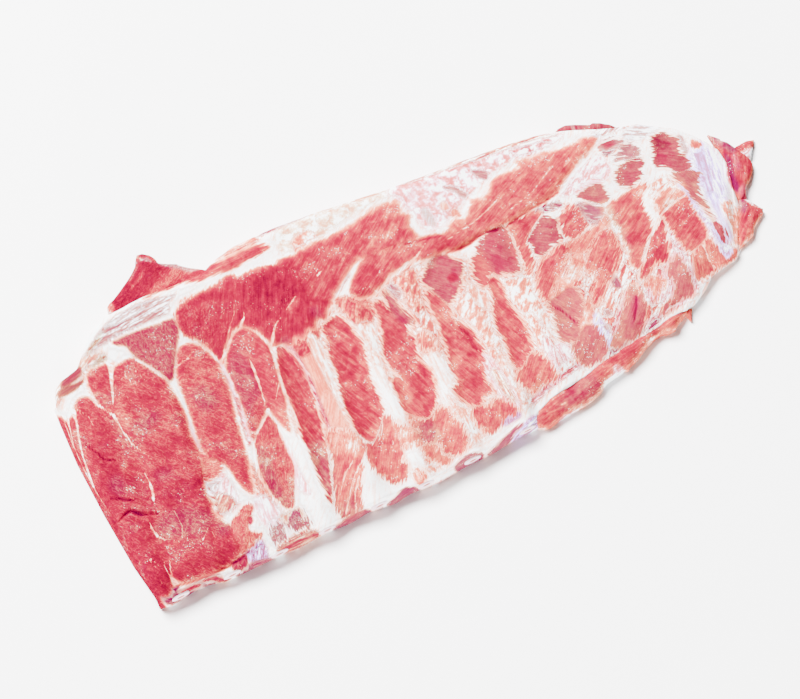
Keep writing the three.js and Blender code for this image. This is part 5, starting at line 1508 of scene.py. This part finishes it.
class RACK_OT_flaps(bpy.types.Operator):
    """Models the loose flaps and strips of meat that lie against the sheet"""
    bl_idname = "rack.flaps"
    bl_label = "Loose flaps"

    def execute(self, context):
        for flap in FLAPS:
            start_piece()
            bpy.ops.mesh.primitive_uv_sphere_add(segments=96, ring_count=110, radius=1)
            obj = context.object
            x, y, z = self.shape(coordinates(obj), flap)
            fields = Fields(*drawn(x, y, z))
            self.paint(fields, x, y, z, flap)
            place_vertices(obj, x, y, z)
            store_fields(obj, fields)
            face_out()
            finish_piece(flap.name, [], materials()["raw_meat"])
        return {"FINISHED"}

    def paint(self, fields, x, y, z, flap):
        """Paints the flap with its own lean, tints and paler border."""
        fields.lean[:] = FLAP_REACH
        fields.pale[:] = flap.pale
        fields.hue[:] = HUES[flap.hue]
        fields.paint_tints(x, y, flap.tints)
        inside = signed_distance(x, y, flap.outer + flap.inner[-2:0:-1], FLAP_REACH)
        fields.pale += FLAP_RIM * (1 - smoothstep(inside, *FLAP_RIM_WIDTH))
        fields.feather[:] = FLAP_FEATHER
        fields.vivid[:] = VEILED if flap.hue == "ashen" else 1.0
        # No painted shade of clefts on a flap.
        fields.dark[:] = 0
        fields.turn_grain(np.ones(len(x), bool), x, y, flap.fibre, FLAP_GRAIN)
        fields.grain[:, 2] += SIDE_GRAIN * np.clip(FLAP_BROW * flap.height - z, 0, None)

    def shape(self, ball, flap):
        """Lays a ball of radius 1, poles at the tips, out between the flap's two edges."""
        u = np.arccos(np.clip(-ball[:, 2], -1, 1)) / math.pi
        ring = np.maximum(np.hypot(ball[:, 0], ball[:, 1]), TINY)
        across, rise = ball[:, 0] / ring, ball[:, 1] / ring
        outer, inner = self.along_edge(flap.outer, u), self.along_edge(flap.inner, u)
        x, y = lerp(inner, outer, 0.5 + 0.5 * across)
        narrow = np.clip(np.hypot(*(outer - inner)) / FLAP_WIDE, 0, 1)
        crown = np.clip(rise, 0, 1) ** FLAP_CURVE * lerp(FLAP_THIN, 1, narrow)
        waves = soft_noise(x, y, 9, 11) * 0.8 + soft_noise(x, y, 4, 12) * 0.4
        return x, y, np.maximum(crown * (flap.height + waves), 0)

    def along_edge(self, edge, u):
        """Points at shares u of an edge's length."""
        x, y = np.array(edge, float).T
        run = np.concatenate([[0], np.cumsum(np.hypot(np.diff(x), np.diff(y)))])
        return np.stack([np.interp(u * run[-1], run, x), np.interp(u * run[-1], run, y)])


# ---- the sawn bones ----
# Lengths are in mm.

BONE_WIDE, BONE_HIGH = 6, 4  # half a rib bone's width and height
BONE_MIDDLE = 9.0  # height of its middle at the sawn end
BONE_CLIMB, CLIMB_LENGTH = 2.5, 40  # how much higher it lies that far in
FACE_SHARE = 0.58  # how far down the sawn face its middle is, as a share
PROUD = 0.6  # how far its end stands out of the meat there
BONE_STRETCH = 0.56  # stretches the ball, so that its poles become flat ends
END_SPREAD = 2.2  # how far the flat ends reach out: the wall starts at 1 / END_SPREAD
MARROW_SHARE, MARROW_EDGE = 0.7, (0.3, 0.7)


class RACK_OT_sawn_bones(bpy.types.Operator):
    """Models the rib bones whose sawn ends show at the edge"""
    bl_idname = "rack.sawn_bones"
    bl_label = "Sawn bones"

    def execute(self, context):
        for number in range(1, SAWN_BONES + 1):
            self.bone(context, number)
        return {"FINISHED"}

    def bone(self, context, number):
        """Models one rod with flat ends, from the sawn face to where its solid ends."""
        node = f"rib_bone_{number}"
        low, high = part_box(node)
        rib = RIBS[number - 1]
        meat = lerp(along(SHEET_EDGE, rib[0]), along(SHEET_BASE, rib[0]), FACE_SHARE)
        face = min(low.y / MM - ORIGIN[1], meat - PROUD)
        inner = high.y / MM - ORIGIN[1]
        start_piece()
        bpy.ops.mesh.primitive_uv_sphere_add(segments=48, ring_count=40, radius=1)
        obj = context.object
        across, up, lengthways = coordinates(obj).T
        y = lerp(face, inner, np.clip(0.5 + lengthways * BONE_STRETCH, 0, 1))
        ring = np.hypot(across, up)
        spread = ring * END_SPREAD
        full = np.clip(spread, 0, 1) / np.maximum(ring, TINY)
        x = rib_x(rib, y) + across * full * BONE_WIDE
        z = BONE_MIDDLE + up * full * BONE_HIGH + BONE_CLIMB * smoothstep(y - face, 0, CLIMB_LENGTH)
        place_vertices(obj, x, y, z)
        add_attribute(obj, "marrow", MARROW_SHARE * (1 - smoothstep(spread, *MARROW_EDGE)))
        face_out()
        finish_piece(f"sawn_bone_{number}", [node], materials()["sawn_bone"])


# ---- the stage ----
# Lengths are in metres.

FLOOR_SIZE = 8
AIM_HEIGHT = 0.02  # of what the camera looks at
LIGHTS = (  # name, size across and place; a property gives the power
    ("key", 1.9, (-0.75, 2.0, 3.3)),
    ("fill", 0.25, (-1.4, -2.3, 0.15)),
)
SENSOR_WIDTH = 36  # mm
CLIP_END = 20


class RACK_OT_stage(bpy.types.Operator):
    """Sets the pale floor, the soft lights and the camera"""
    bl_idname = "rack.stage"
    bl_label = "Stage"

    def execute(self, context):
        stage = context.scene.rack_stage
        self.floor(context, stage)
        for name, size, place in LIGHTS:
            self.light(name, getattr(stage, f"{name}_power"), size, place)
        world = context.scene.world or bpy.data.worlds.new("studio")
        context.scene.world = world
        world.use_nodes = True
        background = world.node_tree.nodes["Background"]
        background.inputs["Color"].default_value = (1, 1, 1, 1)
        background.inputs["Strength"].default_value = stage.sky
        self.camera(context, stage)
        return {"FINISHED"}

    def floor(self, context, stage):
        start_piece()
        bpy.ops.mesh.primitive_plane_add(size=FLOOR_SIZE, location=(0, 0, 0))
        floor = context.object
        floor.name = "floor"
        material, n = new_material("pale_floor")
        n.surface({"Base Color": (*stage.floor_color, 1), "Roughness": 0.9, "Specular IOR Level": 0.1})
        floor.data.materials.append(material)

    def light(self, name, power, size, place):
        bpy.ops.object.light_add(type="AREA", location=place)
        lamp = bpy.context.object
        lamp.name = name
        lamp.data.energy = power
        lamp.data.shape = "DISK"
        lamp.data.size = size
        lamp.rotation_euler = (-Vector(place)).to_track_quat("-Z", "Y").to_euler()

    def camera(self, context, stage):
        a, e = stage.azimuth, stage.elevation
        back = Vector((math.sin(a) * math.cos(e), -math.cos(a) * math.cos(e), math.sin(e)))
        target = Vector(ORIGIN * MM) + Vector((0, 0, AIM_HEIGHT))
        bpy.ops.object.camera_add(location=target + back * stage.distance)
        camera = context.object
        camera.rotation_euler = (-back).to_track_quat("-Z", "Y").to_euler()
        camera.data.lens = stage.lens
        camera.data.sensor_width = SENSOR_WIDTH
        camera.data.clip_end = CLIP_END
        context.scene.camera = camera


class RACK_PT_panel(bpy.types.Panel):
    """Lists the rack's steps and settings"""
    bl_idname = "RACK_PT_panel"
    bl_label = "Raw rack of ribs"
    bl_space_type = "VIEW_3D"
    bl_region_type = "UI"
    bl_category = "Ribs"

    def draw(self, context):
        layout = self.layout
        for settings in (context.scene.rack_sizes, context.scene.rack_stage):
            box = layout.box()
            for key in settings.__annotations__:
                box.prop(settings, key)
        for operator in OPERATORS:
            layout.operator(operator.bl_idname)


OPERATORS = (RACK_OT_meat_sheet, RACK_OT_flaps, RACK_OT_sawn_bones, RACK_OT_stage)
CLASSES = (RackSizes, RackStage, *OPERATORS, RACK_PT_panel)


def register():
    for cls in CLASSES:
        bpy.utils.register_class(cls)
    bpy.types.Scene.rack_sizes = bpy.props.PointerProperty(type=RackSizes)
    bpy.types.Scene.rack_stage = bpy.props.PointerProperty(type=RackStage)


def unregister():
    del bpy.types.Scene.rack_stage
    del bpy.types.Scene.rack_sizes
    for cls in reversed(CLASSES):
        bpy.utils.unregister_class(cls)


def main():
    register()
    bpy.ops.rack.meat_sheet()
    bpy.ops.rack.flaps()
    bpy.ops.rack.sawn_bones()
    bpy.ops.rack.stage()


if __name__ == "__main__":
    main()
